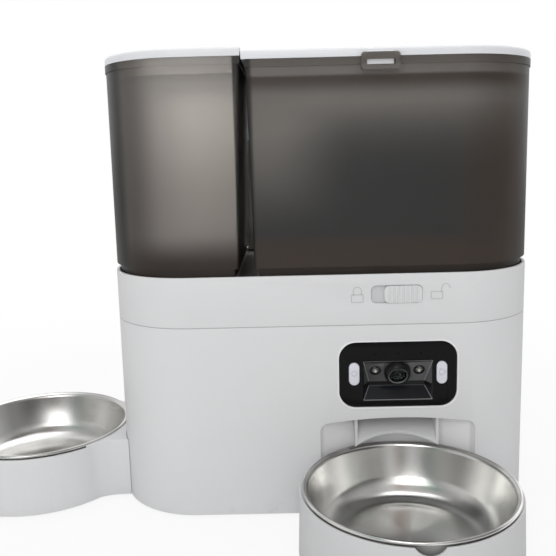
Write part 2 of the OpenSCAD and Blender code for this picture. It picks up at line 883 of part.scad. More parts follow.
module camera_lens() color("midnightblue") placed() on_fold(0, lens_y, lens_dz) {
    bulge = 2;
    ball = (lens_r * lens_r + bulge * bulge) / (2 * bulge);
    translate([0, 0, barrel_out - 6]) intersection() {
        cylinder(h = 3 + bulge, r = lens_r);
        translate([0, 0, 3 + bulge - ball]) sphere(ball);
    }
}

module ir_leds() color("lightgray") placed() {
    for (s = [-1, 1])
        on_fold(s * led_dx, led_y, led_dz) {
            translate([0, 0, -6]) cylinder(h = 5, r = led_d / 2);
            translate([0, 0, -1]) intersection() {
                sphere(led_d / 2);
                translate([0, 0, led_d / 2 - eps]) cube(led_d, center = true);
            }
        }
}

module camera_board() color("darkgreen") placed() {
    difference() {
        translate([disp_x - board_w / 2, board_y, board_low])
            cube([board_w, board_t, board_high - board_low]);
        at_posts() along_y(board_y - 1, board_y + board_t + 1) circle(1.2);
    }
    for (s = [-1, 1])
        at_button(s) along_y(board_y - switch_h, board_y + eps) square(switch_w, center = true);
    translate([disp_x - sensor_w / 2, board_y + board_t - eps, panel_z - sensor_drop])
        cube([sensor_w, sensor_t, sensor_h]);
}

module button(side) {
    color("lavender") placed() at_button(side) {
        along_y(button_face, button_back + eps) pill(button_w, button_h);
        along_y(button_back, button_back + 1.2) pill(button_w + 2.4, button_h + 2.4);
        along_y(button_back + 1, board_y - switch_h - button_travel - gap) circle(button_stem_r);
    }
}

module button_left() button(-1);

module button_right() button(1);

// Electronics at the bottom

module main_board() color("darkgreen") placed() {
    left = power_x - main_w / 2;
    near = main_y - main_d / 2;
    top = main_z + board_t - eps;
    translate([left, near, main_z]) cube([main_w, main_d, board_t]);
    translate([left + part_in, near + part_in, top]) cube([chip_w, chip_w, chip_t]);
    translate([left + main_w - part_in - relay_w, near + part_in, top]) cube([relay_w, relay_d, relay_h]);
    translate([left + part_in + tall_can_r, near + main_d - part_in - tall_can_r, top])
        cylinder(h = tall_can_h, r = tall_can_r);
    translate([left + main_w - part_in - low_can_r, near + main_d - part_in - low_can_r, top])
        cylinder(h = low_can_h, r = low_can_r);
}

module power_inlet() color("black") placed() difference() {
    inner = back - wall - gap;
    union() {
        translate([power_x - jack_w / 2, inner - jack_l, main_z + board_t]) cube([jack_w, jack_l, jack_h]);
        translate([power_x, 0, jack_z]) along_y(inner - 1, back - 0.5) circle(jack_r + 0.9);
    }
    difference() {
        translate([power_x, 0, jack_z]) along_y(inner - jack_l + 3, back + 1) circle(jack_r - 0.4);
        translate([power_x, 0, jack_z]) along_y(inner - jack_l, back - 3) circle(1);
    }
}

// Tanks: two parts of the body's outline, parted by a leaning gap

module food_solid(inset, low, high, extra = 0) {
    slope = food_lean / tank_h;
    left_low = food_left - slope * (low - skin_z) + inset + extra;
    left_high = food_left - slope * (high - skin_z) + inset + extra;
    intersection() {
        rise(low, high) body_outline(inset);
        along_y(-body_d, body_d)
            polygon([[left_low, low], [body_w, low], [body_w, high], [left_high, high]]);
    }
}

module water_solid(inset, low, high, extra = 0) {
    slope = water_lean / (tank_h + water_rise);
    right_low = water_right + slope * (low - skin_z) - inset - extra;
    right_high = water_right + slope * (high - skin_z) - inset - extra;
    intersection() {
        rise(low, high) body_outline(inset);
        along_y(-body_d, body_d)
            polygon([[-body_w, low], [right_low, low], [right_high, high], [-body_w, high]]);
    }
}

module food_funnel(r) {
    reach = body_w;
    top = reach * tan(funnel_angle);
    translate([disp_x, disp_y, neck_z]) cylinder(h = top, r1 = r, r2 = r + reach, $fn = 144);
}

module knuckle(r) {
    translate([0, hinge_y, hinge_z]) rotate([0, 90, 0]) cylinder(h = knuckle_l, r = r, center = true);
}

// Tank lugs stand outside the lid lugs of each hinge
module at_tank_lugs() {
    for (s = [-1, 1])
        translate([hinge_x + s * (hinge_dx + knuckle_l + gap), 0, 0]) children();
}

module at_lid_lugs() {
    for (s = [-1, 1])
        translate([hinge_x + s * hinge_dx, 0, 0]) children();
}

module latch_loop() {
    y_out = front - latch_off - latch_t;
    difference() {
        translate([latch_x, 0, (latch_low + latch_high) / 2]) along_y(y_out, front + tank_wall / 2)
            round_rect(latch_w, latch_high - latch_low, latch_r);
        translate([latch_x, 0, latch_low + latch_bar + latch_window / 2])
            along_y(y_out - 1, front - latch_off + eps)
            round_rect(latch_w - 2 * latch_side, latch_window, 1);
        translate([latch_x - latch_w / 2 + latch_side, front - latch_off, latch_low + latch_bar])
            cube([latch_w - 2 * latch_side, latch_off + tank_wall, latch_high]);
        // The loop stands clear of the lid above the tank's edge
        translate([latch_x - latch_w, front - latch_off, food_top])
            cube([2 * latch_w, latch_off + tank_wall, latch_high]);
    }
}

module food_tank() color("saddlebrown", 0.6) placed() difference() {
    union() {
        difference() {
            union() {
                food_solid(0, food_top - rim_h, food_top);
                food_solid(rim_out, skin_z, food_top);
                food_solid(neck_in, neck_z, skin_z + eps);
            }
            food_solid(tank_wall, skin_z + ledge_t, food_top + 1);
            food_solid(neck_in + tank_wall, neck_z - 1, skin_z + ledge_t + eps);
        }
        intersection() {
            difference() {
                food_funnel(funnel_r + tank_wall);
                food_funnel(funnel_r);
            }
            union() {
                food_solid(tank_wall / 2, skin_z + eps, food_top - skirt_h - 10);
                food_solid(neck_in + tank_wall / 2, neck_z, skin_z + 1);
            }
        }
        translate([disp_x, disp_y, 0]) rise(spigot_z, neck_z + tank_wall) circle(spigot_r, $fn = 144);
        translate([tab_x, tab_y, lock_z - 7]) cube([tab_t, tab_d, skin_z - lock_z + 8]);
        latch_loop();
        at_tank_lugs() tank_lug();
    }
    translate([disp_x, disp_y, 0]) rise(spigot_z - 1, neck_z + tank_wall + 1) circle(funnel_r, $fn = 144);
    translate([tab_x - 1, bolt_y - bolt_room, lock_z - bolt_h / 2 - bolt_room])
        cube([tab_t + 2, bolt_d + 2 * bolt_room, bolt_h + 2 * bolt_room]);
    at_tank_lugs() knuckle(hinge_pin_r + run / 2);
}

module tank_lug() {
    knuckle(hinge_r);
    along_x(knuckle_l) polygon([
        [back - tank_wall / 2, hinge_z - 12], [hinge_y, hinge_z - hinge_r],
        [hinge_y + hinge_r * 0.7, hinge_z], [hinge_y - hinge_r, hinge_z],
        [hinge_y - hinge_r, food_top - gap], [back - tank_wall / 2, food_top - gap]
    ]);
}

// A lid plate with a rounded top edge, cut to its own part of the outline
module lid_puck(r) {
    rotate_extrude() {
        square([r, lid_t - lid_round]);
        square([r - lid_round, lid_t]);
        translate([r - lid_round, lid_t - lid_round]) circle(lid_round);
    }
}

module lid_profile(half) {
    for (s = [-1, 1])
        translate([s * (half - lid_round), lid_t - lid_round]) circle(lid_round);
    translate([-half, 0]) square([2 * half, lid_t - lid_round]);
    translate([-half + lid_round, 0]) square([2 * (half - lid_round), lid_t]);
}

module lid_slab() {
    for (sx = [-1, 1], sy = [-1, 1])
        translate([sx * (body_w / 2 - corner_r), sy * (body_d / 2 - corner_r), 0]) lid_puck(corner_r);
    along_x(body_w - 2 * corner_r) lid_profile(body_d / 2);
    along_y(corner_r - body_d / 2, body_d / 2 - corner_r) lid_profile(body_w / 2);
}

module food_lid() color("white") placed() {
    low = food_top + gap;
    difference() {
        union() {
            intersection() {
                translate([0, 0, low]) lid_slab();
                food_solid(-5, low - 1, low + lid_t + 1, 5 - lid_over);
            }
            food_solid(skirt_in, food_top - skirt_h, low + 1);
            at_lid_lugs() lid_lug(low);
            lid_tongue(low);
        }
        food_solid(skirt_in + skirt_t, food_top - skirt_h - 1, low + lid_t - lid_top_t);
        at_lid_lugs() knuckle(hinge_pin_r + run);
        // Two gaps in the skirt's front
        for (s = [-1, 1])
            translate([latch_x + s * skirt_gap_dx - skirt_gap_w / 2, front, food_top - skirt_h - 1])
                cube([skirt_gap_w, skirt_in + 2 * skirt_t, skirt_h + 1 - seal_drop - seal_h - 1]);
        difference() {
            food_solid(skirt_in - eps, food_top - seal_drop - seal_h, food_top - seal_drop);
            food_solid(seal_in, food_top - skirt_h, food_top + 1);
        }
    }
}

module food_lid_seal() color("lightgray") placed() difference() {
    food_solid(seal_out, food_top - seal_drop - seal_h + run, food_top - seal_drop - run);
    food_solid(seal_in, food_top - skirt_h, food_top + 1);
}

module lid_lug(low) {
    knuckle(hinge_r);
    along_x(knuckle_l) polygon([
        [back - 6, low], [hinge_y, low], [hinge_y, hinge_z + hinge_r - 0.5], [back - 6, low + lid_t - 1]
    ]);
}

// Tongue on the lid's front edge that drops behind the latch loop
module lid_tongue(low) {
    width = latch_w - 2 * latch_side - 1.2;
    t = latch_off - 2 * 0.4;
    y_out = front - latch_off + 0.4;
    translate([latch_x - width / 2, y_out, latch_low + latch_bar + 0.6])
        cube([width, t, low + 3 - latch_low - latch_bar - 0.6]);
    translate([latch_x - width / 2, y_out, low]) cube([width, 4, 3]);
}

module hinge_pins() color("silver") placed() {
    for (s = [-1, 1])
        translate([hinge_x + s * (hinge_dx + (knuckle_l + gap) / 2), hinge_y, hinge_z]) rotate([0, 90, 0])
            cylinder(h = 2 * knuckle_l + gap, r = hinge_pin_r, center = true);
}

module water_tank() color("saddlebrown", 0.6) placed() difference() {
    union() {
        difference() {
            union() {
                water_solid(0, water_top - rim_h, water_top);
                water_solid(rim_out, skin_z, water_top);
                // Rib near the back that keeps the two tanks apart
                translate([water_right - tank_wall / 2, rib_y, rib_low])
                    cube([rib_edge - water_right + tank_wall / 2, tank_wall, rib_top - rib_low]);
                water_solid(neck_in, neck_z, skin_z + eps);
            }
            water_solid(tank_wall, skin_z + ledge_t, water_top + 1);
            water_solid(neck_in + tank_wall, neck_z + tank_wall, skin_z + ledge_t + eps);
        }
        translate([water_x, 0, 0]) rise(outlet_z, neck_z + 1) circle(outlet_r);
    }
    difference() {
        translate([water_x, 0, 0]) rise(outlet_z - 1, neck_z + tank_wall + 1) circle(outlet_r - 3);
        translate([water_x - outlet_r, -1.5, bridge_low]) cube([2 * outlet_r, 3, bridge_t]);
    }
}

module water_lid() color("white") placed() {
    low = water_top + gap;
    difference() {
        union() {
            intersection() {
                translate([0, 0, low]) lid_slab();
                water_solid(-5, low - 1, low + lid_t + 1, 5);
            }
            water_solid(skirt_in, water_top - skirt_h, low + 1);
        }
        water_solid(skirt_in + skirt_t, water_top - skirt_h - 1, low + lid_t - lid_top_t);
        difference() {
            water_solid(skirt_in - eps, water_top - seal_drop - seal_h, water_top - seal_drop);
            water_solid(seal_in, water_top - skirt_h, water_top + 1);
        }
    }
}

module water_lid_seal() color("lightgray") placed() difference() {
    water_solid(seal_out, water_top - seal_drop - seal_h + run, water_top - seal_drop - run);
    water_solid(seal_in, water_top - skirt_h, water_top + 1);
}

// Water path: valve cap, plunger and spring, tubes, pump and nozzle

module valve_cap() color("dimgray") placed() translate([water_x, 0, 0]) difference() {
    rise(cap_low, cap_high) {
        circle(cap_r);
        for (i = [0 : 23])
            rotate(15 * i) translate([cap_r - 0.4, 0]) square([0.8, 1.4], center = true);
    }
    rise(cap_low + cap_t, cap_high + 1) circle(outlet_r + run);
    rise(cap_low - 1, cap_low + cap_t + 1) circle(stem_r + 1.2);
}

module valve_plunger() color("white") placed() translate([water_x, 0, 0]) {
    rise(stem_low, disc_z + eps) circle(stem_r);
    rise(disc_z, disc_z + disc_t) circle(disc_r);
}

// Round wire wound at a steady pitch, its ends square to the turns
module valve_spring() color("silver") placed() translate([water_x, 0, 0]) {
    sides = 6;
    steps = 16 * spring_turns;
    low = spring_low + spring_wire;
    climb = bridge_low - gap - spring_wire - low;
    rings = [for (i = [0 : steps]) let (a = 360 * spring_turns * i / steps)
        for (k = [0 : sides - 1]) let (r = spring_r + spring_wire * cos(360 * k / sides))
            [r * cos(a), r * sin(a), low + climb * i / steps + spring_wire * sin(360 * k / sides)]];
    sleeve = [for (i = [0 : steps - 1]) for (k = [0 : sides - 1])
        let (p = i * sides + k, q = i * sides + (k + 1) % sides)
        each [[p, q, q + sides], [p, q + sides, p + sides]]];
    first = [for (k = [1 : sides - 2]) [0, k + 1, k]];
    last = [for (k = [1 : sides - 2]) steps * sides * [1, 1, 1] + [0, k, k + 1]];
    polyhedron(rings, concat(sleeve, first, last));
}

module tube(low, high) {
    rise(low, high) difference() {
        circle(nipple_r + tube_t);
        circle(nipple_r + run / 2);
    }
}

module inlet_tube() color("lightgray", 0.6) placed() translate([nipple_x, 0, 0])
    tube(pump_top + 1, socket_low - 1);

module water_pump() color("black") placed() difference() {
    union() {
        translate([water_x - pump_w / 2, -pump_d / 2, shelf_z + wall]) cube([pump_w, pump_d, pump_h - 4]);
        translate([water_x, 0, 0]) rise(pump_top - 5, pump_top) circle(pump_d / 2);
        translate([nipple_x, 0, 0]) rise(pump_top - 5, pump_top + nipple_l) circle(nipple_r);
        translate([water_x - pump_w / 2 - nipple_l, 0, spray_z]) rotate([0, 90, 0])
            cylinder(h = nipple_l + 1, r = nipple_r);
    }
    translate([nipple_x, 0, 0]) rise(pump_top - 4, pump_top + nipple_l + 1) circle(nipple_bore);
    translate([water_x - pump_w / 2 - nipple_l - 1, 0, spray_z]) rotate([0, 90, 0])
        cylinder(h = nipple_l + 3, r = nipple_bore);
}

module outlet_tube() color("lightgray", 0.6) placed()
    translate([-body_w / 2 + wall + 4, 0, spray_z]) rotate([0, 90, 0])
        tube(0, water_x - pump_w / 2 - 1 + body_w / 2 - wall - 4);

module water_nozzle() color("gainsboro") placed() translate([-body_w / 2, 0, spray_z]) rotate([0, 90, 0])
    difference() {
        union() {
            translate([0, 0, -spray_out]) cylinder(h = 1.5, r1 = spray_r - 0.8, r2 = spray_r);
            translate([0, 0, -spray_out + 1.5 - eps]) cylinder(h = spray_out + wall - 1.5 + eps, r = spray_r);
            translate([0, 0, wall + gap]) cylinder(h = 2, r = spray_r + 3);
            translate([0, 0, wall - eps]) cylinder(h = nipple_l + 4, r = nipple_r);
        }
        translate([0, 0, -spray_out - 1]) cylinder(h = nipple_l + 30, r = nipple_bore);
    }

// Bowls and their holders

// Half section of a bowl's wall, grown outward for the outer face
module bowl_section(grow) {
    low = rim_z - bowl_depth;
    mouth = bowl_r - rim_w;
    heel = 14;
    shoulder = 3;
    lean = 10;
    foot = mouth - shoulder - heel - (bowl_depth - heel) * tan(lean);
    polygon(concat(
        [[0, low - grow]],
        arc([foot, low + heel], heel + grow, -90, -lean),
        arc([mouth + shoulder, rim_z - bead_r - shoulder + 0.7], shoulder - grow, 180 - lean, 90),
        [[mouth + shoulder, rim_z + 1], [0, rim_z + 1]]
    ));
}

module bowl(x, y) {
    color("silver") placed() translate([x, y, 0]) rotate_extrude($fn = 180) difference() {
        union() {
            intersection() {
                bowl_section(bowl_t);
                square([bowl_r, rim_z - bead_r + 0.7]);
            }
            translate([bowl_r - bead_r, rim_z - bead_r]) circle(bead_r, $fn = 40);
            translate([bowl_r - rim_w, rim_z - bead_r - bowl_t + 0.7]) square([rim_w - bead_r, bowl_t]);
        }
        bowl_section(0);
    }
}

module front_bowl() bowl(disp_x, bowl_y);

module side_bowl() bowl(side_x, 0);

module cup_outside() {
    translate([0, 0, foot_h])
        cylinder(h = holder_top - foot_h, r1 = holder_low_r, r2 = holder_top_r, $fn = 180);
}

module cup_inside() {
    translate([0, 0, foot_h + holder_t])
        cylinder(h = rim_z, r1 = holder_low_r - holder_t, r2 = holder_low_r - holder_t - 1, $fn = 180);
}

module finger_notch() {
    translate([0, -holder_low_r, holder_top + notch_r - notch_drop]) rotate([90, 0, 0])
        cylinder(h = 4 * holder_t, r = notch_r, center = true);
}

module at_pads() {
    for (a = [45 : 90 : 315])
        rotate(a) translate([pad_ring, 0, 0]) children();
}

module pad_seats() {
    at_pads() cylinder(h = foot_h + pad_sink, r = pad_r + run);
}

module front_holder() color("whitesmoke") placed() translate([disp_x, bowl_y, 0]) difference() {
    union() {
        cup_outside();
        translate([-tongue_w / 2, 0, tongue_z - tongue_h / 2]) cube([tongue_w, niche_r + tongue_l, tongue_h]);
    }
    cup_inside();
    finger_notch();
    pad_seats();
}

module front_holder_feet() color("dimgray") placed() translate([disp_x, bowl_y, 0])
    at_pads() cylinder(h = foot_h + pad_sink, r = pad_r);

// Neck of the side holder in plan: straight sides that blend into the cup by round fillets
module neck_outline(inset) {
    reach = holder_top_r + fillet_r - 0.2;
    mid_y = neck_half + fillet_r;
    mid_x = sqrt(reach * reach - mid_y * mid_y);
    start = 180 + atan2(mid_y, mid_x);
    bend = arc([mid_x, mid_y], fillet_r + inset, start, 270, 12);
    far = [-side_x, neck_half - inset];
    side = concat(bend, [far]);
    last = len(side) - 1;
    polygon(concat([[0, 0]], side, [for (i = [last : -1 : 0]) [side[i][0], -side[i][1]]]));
}

module side_holder() color("whitesmoke") placed() difference() {
    neck_top = holder_top + 2;
    translate([side_x, 0, 0]) {
        difference() {
            rise(foot_h, neck_top) neck_outline(0);
            rise(0, neck_top - holder_t) difference() {
                neck_outline(holder_t);
                circle(holder_low_r - 1);
            }
        }
        // End wall of the neck, which follows the body's side
        rise(foot_h, neck_top) intersection() {
            neck_outline(0);
            translate([-side_x, 0]) body_outline(-gap - holder_t);
        }
        cup_outside();
        translate([holder_low_r - 1, -tongue_w / 2, tongue_z - tongue_h / 2])
            cube([-body_w / 2 - side_x - holder_low_r + 1 + tongue_l, tongue_w, tongue_h]);
    }
    difference() {
        rise(0, base_top) body_outline(-gap);
        translate([-body_w / 2 - 1, -tongue_w / 2, tongue_z - tongue_h / 2])
            cube([tongue_l + 1, tongue_w, tongue_h]);
    }
    translate([side_x, 0, 0]) {
        cup_inside();
        rotate(-90) finger_notch();
        pad_seats();
        translate([0, 0, holder_top]) cylinder(h = rim_z, r = bowl_r + gap, $fn = 180);
    }
}

module side_holder_feet() color("dimgray") placed() translate([side_x, 0, 0])
    at_pads() cylinder(h = foot_h + pad_sink, r = pad_r);

base_shell();
top_deck();
base_plate();
feet();
base_screws();
deck_screws();
chute();
gear_case();
gear_motor();
motor_shaft();
pinion();
rotor();
rotor_shaft();
driven_gear();
lock_slider();
camera_bezel();
camera_barrel();
camera_lens();
ir_leds();
camera_board();
button_left();
button_right();
main_board();
power_inlet();
food_tank();
food_lid();
food_lid_seal();
hinge_pins();
water_tank();
water_lid();
water_lid_seal();
valve_cap();
valve_plunger();
valve_spring();
inlet_tube();
water_pump();
outlet_tube();
water_nozzle();
front_holder();
front_holder_feet();
front_bowl();
side_holder();
side_holder_feet();
side_bowl();
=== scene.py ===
import math

import bpy
from mathutils import Matrix, Vector


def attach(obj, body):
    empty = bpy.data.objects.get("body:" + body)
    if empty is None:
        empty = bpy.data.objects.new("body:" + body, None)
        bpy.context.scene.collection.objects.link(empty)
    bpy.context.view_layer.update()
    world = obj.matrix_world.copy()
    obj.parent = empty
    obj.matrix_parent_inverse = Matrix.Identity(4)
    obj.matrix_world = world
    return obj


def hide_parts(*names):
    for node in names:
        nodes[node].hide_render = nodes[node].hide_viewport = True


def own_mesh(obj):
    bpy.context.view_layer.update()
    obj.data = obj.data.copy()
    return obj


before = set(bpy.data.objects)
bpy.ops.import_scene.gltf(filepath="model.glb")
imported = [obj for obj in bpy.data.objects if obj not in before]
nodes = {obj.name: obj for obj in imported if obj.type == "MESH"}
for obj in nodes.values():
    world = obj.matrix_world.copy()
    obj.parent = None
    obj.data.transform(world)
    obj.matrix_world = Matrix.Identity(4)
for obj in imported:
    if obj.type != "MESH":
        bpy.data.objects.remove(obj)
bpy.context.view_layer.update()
scene = bpy.context.scene
scene.view_settings.view_transform = "Standard"


# The photographer's table: a wide sheet of white paper in a bright room, one broad lamp ahead
# and to the left, one overhead, and the camera level with the middle of the tanks.
class Tone:
    """A socket in a node tree. Sums on it add Math nodes, and put() adds any other node."""

    def __init__(self, tree, socket=None):
        self.tree = tree
        self.socket = socket

    def put(self, kind, settings=None, sockets=None, out=0):
        node = self.tree.nodes.new("ShaderNode" + kind)
        for key, value in (settings or {}).items():
            setattr(node, key, value)
        for key, value in (sockets or {}).items():
            if isinstance(value, Tone):
                self.tree.links.new(value.socket, node.inputs[key])
            else:
                node.inputs[key].default_value = value
        return Tone(self.tree, node.outputs[out])

    def sum(self, operation, first, second=0.0):
        return self.put("Math", {"operation": operation}, {0: first, 1: second})

    def __add__(self, other):
        return self.sum("ADD", self, other)

    __radd__ = __add__

    def __sub__(self, other):
        return self.sum("SUBTRACT", self, other)

    def __rsub__(self, other):
        return self.sum("SUBTRACT", other, self)

    def __mul__(self, other):
        return self.sum("MULTIPLY", self, other)

    __rmul__ = __mul__

    def __truediv__(self, other):
        return self.sum("DIVIDE", self, other)

    def __abs__(self):
        return self.sum("ABSOLUTE", self)

    def most(self, other):
        return self.sum("MAXIMUM", self, other)

    def least(self, other):
        return self.sum("MINIMUM", self, other)

    def ease(self, start, end, low=0.0, high=1.0):
        """Runs smoothly from low at start to high at end, and stays level outside them."""
        limits = {"Value": self, "From Min": start, "From Max": end, "To Min": low, "To Max": high}
        return self.put("MapRange", {"interpolation_type": "SMOOTHSTEP"}, limits)

    def within(self, low, low_full, high_full, high):
        """1 between the two inner limits, easing to 0 at the outer two."""
        return self.ease(low, low_full) * self.ease(high, high_full)

    def part(self, axis):
        return self.put("SeparateXYZ", {}, {0: self}, axis)

    def parts(self):
        return [self.part(axis) for axis in range(3)]

    def blend(self, colour, other):
        """Goes from one colour to another as this value goes from 0 to 1."""
        # A Mix node has its colours at inputs 6 and 7 and at output 2.
        return self.put("Mix", {"data_type": "RGBA"}, {0: self, 6: colour, 7: other}, 2)

    def noise(self, scale, detail=2.0, rough=0.5):
        look = {"Vector": self, "Scale": scale, "Detail": detail, "Roughness": rough}
        return self.put("TexNoise", {}, look)

    def moved(self, origin, scale=(1, 1, 1)):
        """These coordinates measured from another origin, in metres, and stretched by scale."""
        shift = [-scale[i] * origin[i] for i in range(3)]
        return self.put("Mapping", {}, {"Vector": self, "Location": shift, "Scale": scale})

    def away(self, first, second):
        """Distance from the axis that these two axes of the coordinates cross at 0."""
        return self.part(first).across(self.part(second))

    def across(self, other):
        """The long side over two lengths at a right angle."""
        return self.sum("SQRT", self * self + other * other)

    def bump(self, shader, strength, distance):
        level = {"Strength": strength, "Distance": distance, "Height": self}
        self.put("Bump", {}, level).into(shader, "Normal")

    def into(self, shader, socket):
        self.tree.links.new(self.socket, shader.inputs[socket])


def finish(name, constants):
    """A new material with its shader's plain sockets set, its shader and its coordinates."""
    material = bpy.data.materials.new(name)
    material.use_nodes = True
    tree = material.node_tree
    shader = tree.nodes["Principled BSDF"]
    for socket, value in constants.items():
        shader.inputs[socket].default_value = value
    return material, shader, Tone(tree).put("TexCoord", {}, {}, "Object")


def rgb(red, green, blue):
    return (red, green, blue, 1.0)


world = bpy.data.worlds.new("studio")
world.use_nodes = True
scene.world = world
sky = Tone(world.node_tree)
seen = sky.put("LightPath", {}, {}, "Is Camera Ray")
mirrored = sky.put("LightPath", {}, {}, "Is Glossy Ray")
through = sky.put("LightPath", {}, {}, "Is Transmission Ray")
east, north, height = sky.put("TexCoord", {}, {}, "Generated").parts()
ceiling = height.ease(0.1, 0.8) * 0.5
door = east.within(-0.24, -0.10, 0.06, 0.18)
rear_wall = north.ease(-0.2, 0.5) * (1 - 0.65 * door)
left_wall = east.ease(-0.45, -0.9) * 0.7
front_wall = north.ease(-0.2, -0.5)
left_window = east.within(-0.46, -0.34, -0.16, -0.06)
right_window = east.within(0.06, 0.14, 0.28, 0.40)
windows = left_window.most(right_window) * front_wall * height.ease(-0.5, -0.1) * 0.5
shelf = east.within(-0.05, 0.0, 0.11, 0.17) * front_wall
curtain = east.within(-0.66, -0.56, -0.46, -0.38) * front_wall
lit_walls = ceiling.most(rear_wall).most(left_wall).most(windows)
dimmest, brightest, ambient = 0.06, 1.1, 0.54
room = dimmest + brightest * lit_walls * (1 - 0.7 * shelf) * (1 - 0.5 * curtain)
bare = seen.most(through)
strength = bare + (1 - bare) * (mirrored * room + (1 - mirrored) * ambient)
backdrop = world.node_tree.nodes["Background"]
hue = (shelf * mirrored).blend(rgb(1, 1, 1), rgb(1.0, 0.68, 0.55))
hue = (curtain * mirrored).blend(hue, rgb(0.55, 1.0, 0.80))
hue.into(backdrop, "Color")
strength.into(backdrop, "Strength")

bpy.ops.object.select_all(action="DESELECT")
bpy.ops.mesh.primitive_plane_add(size=9.0, location=(0, 0, 0))
floor = bpy.context.object
floor.name = "floor"
paper, paper_shader, paper_place = finish("paper", {"Roughness": 0.9, "Specular IOR Level": 0.1})
paper_tone = paper_place.noise(3.0).blend(rgb(0.84, 0.84, 0.84), rgb(0.87, 0.87, 0.87))
paper_tone.into(paper_shader, "Base Color")
lit_paper = paper_place.put("Emission", {}, {"Color": rgb(1, 1, 1), "Strength": 1.0})
lit_share = paper_place.away(0, 1).ease(0.25, 0.8, 0.86, 1.0)
lit_share = paper_place.put("LightPath", {}, {}, "Is Camera Ray") * lit_share
plain_paper = Tone(paper.node_tree, paper_shader.outputs[0])
mixed = lit_share.put("MixShader", {}, {0: lit_share, 1: plain_paper, 2: lit_paper})
mixed.into(paper.node_tree.nodes["Material Output"], "Surface")
floor.data.materials.append(paper)

for name, stand_at, target, size, power in (
    ("lamp_ahead", (-0.22, -1.6, 0.95), (0.05, 0.0, 0.12), 1.0, 10.0),
    ("lamp_overhead", (0.1, 0.25, 1.75), (0.07, 0.05, 0.0), 1.3, 11.0),
):
    lamp = bpy.data.lights.new(name, "AREA")
    lamp.size = size
    lamp.energy = power
    stand = bpy.data.objects.new(name, lamp)
    scene.collection.objects.link(stand)
    stand.location = stand_at
    stand.rotation_euler = (Vector(target) - Vector(stand_at)).to_track_quat("-Z", "Y").to_euler()

frame_px = 556
focal_px, axis_px = 715.48, (284.32, 260.02)
yaw, pitch, roll = -0.0071, 0.155, -0.0237
eye = (0.0518, -0.5186, 0.27178)
right = Vector((math.cos(yaw), -math.sin(yaw), 0))
ahead = math.cos(pitch) * Vector((math.sin(yaw), math.cos(yaw), -math.tan(pitch)))
up = right.cross(ahead)
right, up = (
    math.cos(roll) * right + math.sin(roll) * up,
    math.cos(roll) * up - math.sin(roll) * right,
)
lens = bpy.data.cameras.new("camera")
lens.sensor_width = 36
lens.lens = focal_px / frame_px * lens.sensor_width
lens.shift_x = 0.5 - axis_px[0] / frame_px
lens.shift_y = axis_px[1] / frame_px - 0.5
lens.clip_start = 0.01
camera = bpy.data.objects.new("camera", lens)
scene.collection.objects.link(camera)
aim = Matrix((right, up, -ahead)).transposed().to_4x4()
camera.matrix_world = Matrix.Translation(eye) @ aim
scene.camera = camera

# Base shell: the white lower moulding with the bowl niche, the panel opening and the spout
# opening. Satin ABS from a spark-eroded tool, its edges broken where the tool parts. The deck
# and the base plate are screwed to its columns.
body_x, body_y, front_y = 75.8, 59.5, -78
panel_x, panel_z = 53, 107.8
millimetres = (1000, 1000, 1000)


def at(x, y, z):
    """A place given in millimetres from the middle of the body's outline on the floor."""
    return Vector((x + body_x, y + body_y, z)) / 1000


def from_middle(place):
    """A place of the scene in millimetres from the middle of the body's outline on the floor."""
    return 1000 * place - Vector((body_x, body_y, 0))


def beyond(p):
    """How far a place lies outside the body's outline in plan, which has round corners."""
    corner_x, corner_y, corner_r = 97, 15, 63
    return math.hypot(max(abs(p.x) - corner_x, 0), max(abs(p.y) - corner_y, 0)) - corner_r


def in_panel(p, wide, high):
    """Whether a place lies this near to the panel's middle, to the side and in height."""
    return abs(p.x - panel_x) < wide and abs(p.z - panel_z) < high


def pick(piece):
    """Leaves just this piece selected and active."""
    bpy.ops.object.select_all(action="DESELECT")
    piece.select_set(True)
    bpy.context.view_layer.objects.active = piece


def softened(node, *roundings):
    """A copy of a CAD piece. Each rounding is a width in mm and a test of an edge's middle."""
    weld, flat_angle, fold_angle = 2e-6, math.radians(0.3), math.radians(32)
    piece = bpy.data.objects.new(node + "_moulding", nodes[node].data.copy())
    scene.collection.objects.link(piece)
    pick(piece)
    bpy.ops.mesh.customdata_custom_splitnormals_clear()
    bpy.ops.object.shade_smooth()
    bpy.ops.object.mode_set(mode="EDIT")
    bpy.ops.mesh.select_all(action="SELECT")
    bpy.ops.mesh.remove_doubles(threshold=weld)
    bpy.ops.mesh.dissolve_limited(angle_limit=flat_angle)
    bpy.ops.mesh.select_mode(type="EDGE")
    for width, where in roundings:
        bpy.ops.mesh.select_all(action="DESELECT")
        bpy.ops.mesh.edges_select_sharp(sharpness=fold_angle)
        bpy.ops.object.mode_set(mode="OBJECT")
        points = [from_middle(point.co) for point in piece.data.vertices]
        rounded = []
        for edge in piece.data.edges:
            start, end = edge.vertices
            if edge.select and where((points[start] + points[end]) / 2):
                rounded.append(edge)
        for items in (piece.data.vertices, piece.data.edges, piece.data.polygons):
            items.foreach_set("select", [False] * len(items))
        for edge in rounded:
            edge.select = True
        bpy.ops.object.mode_set(mode="EDIT")
        bpy.ops.mesh.bevel(offset=width / 1000, segments=3, affect="EDGES", clamp_overlap=False)
    bpy.ops.object.mode_set(mode="OBJECT")
    bpy.ops.object.shade_smooth_by_angle(angle=fold_angle)
    return piece


def dress(material, *names):
    """Gives CAD pieces that are shown as they are their material."""
    for node in names:
        nodes[node].data.materials.clear()
        nodes[node].data.materials.append(material)


def fit(piece, material, body, slot, *stands_for):
    """Dresses a finished piece, hangs it on its body and puts it in the place of CAD pieces."""
    piece.data.materials.clear()
    piece.data.materials.append(material)
    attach(piece, body)
    if stands_for:
        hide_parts(*stands_for)


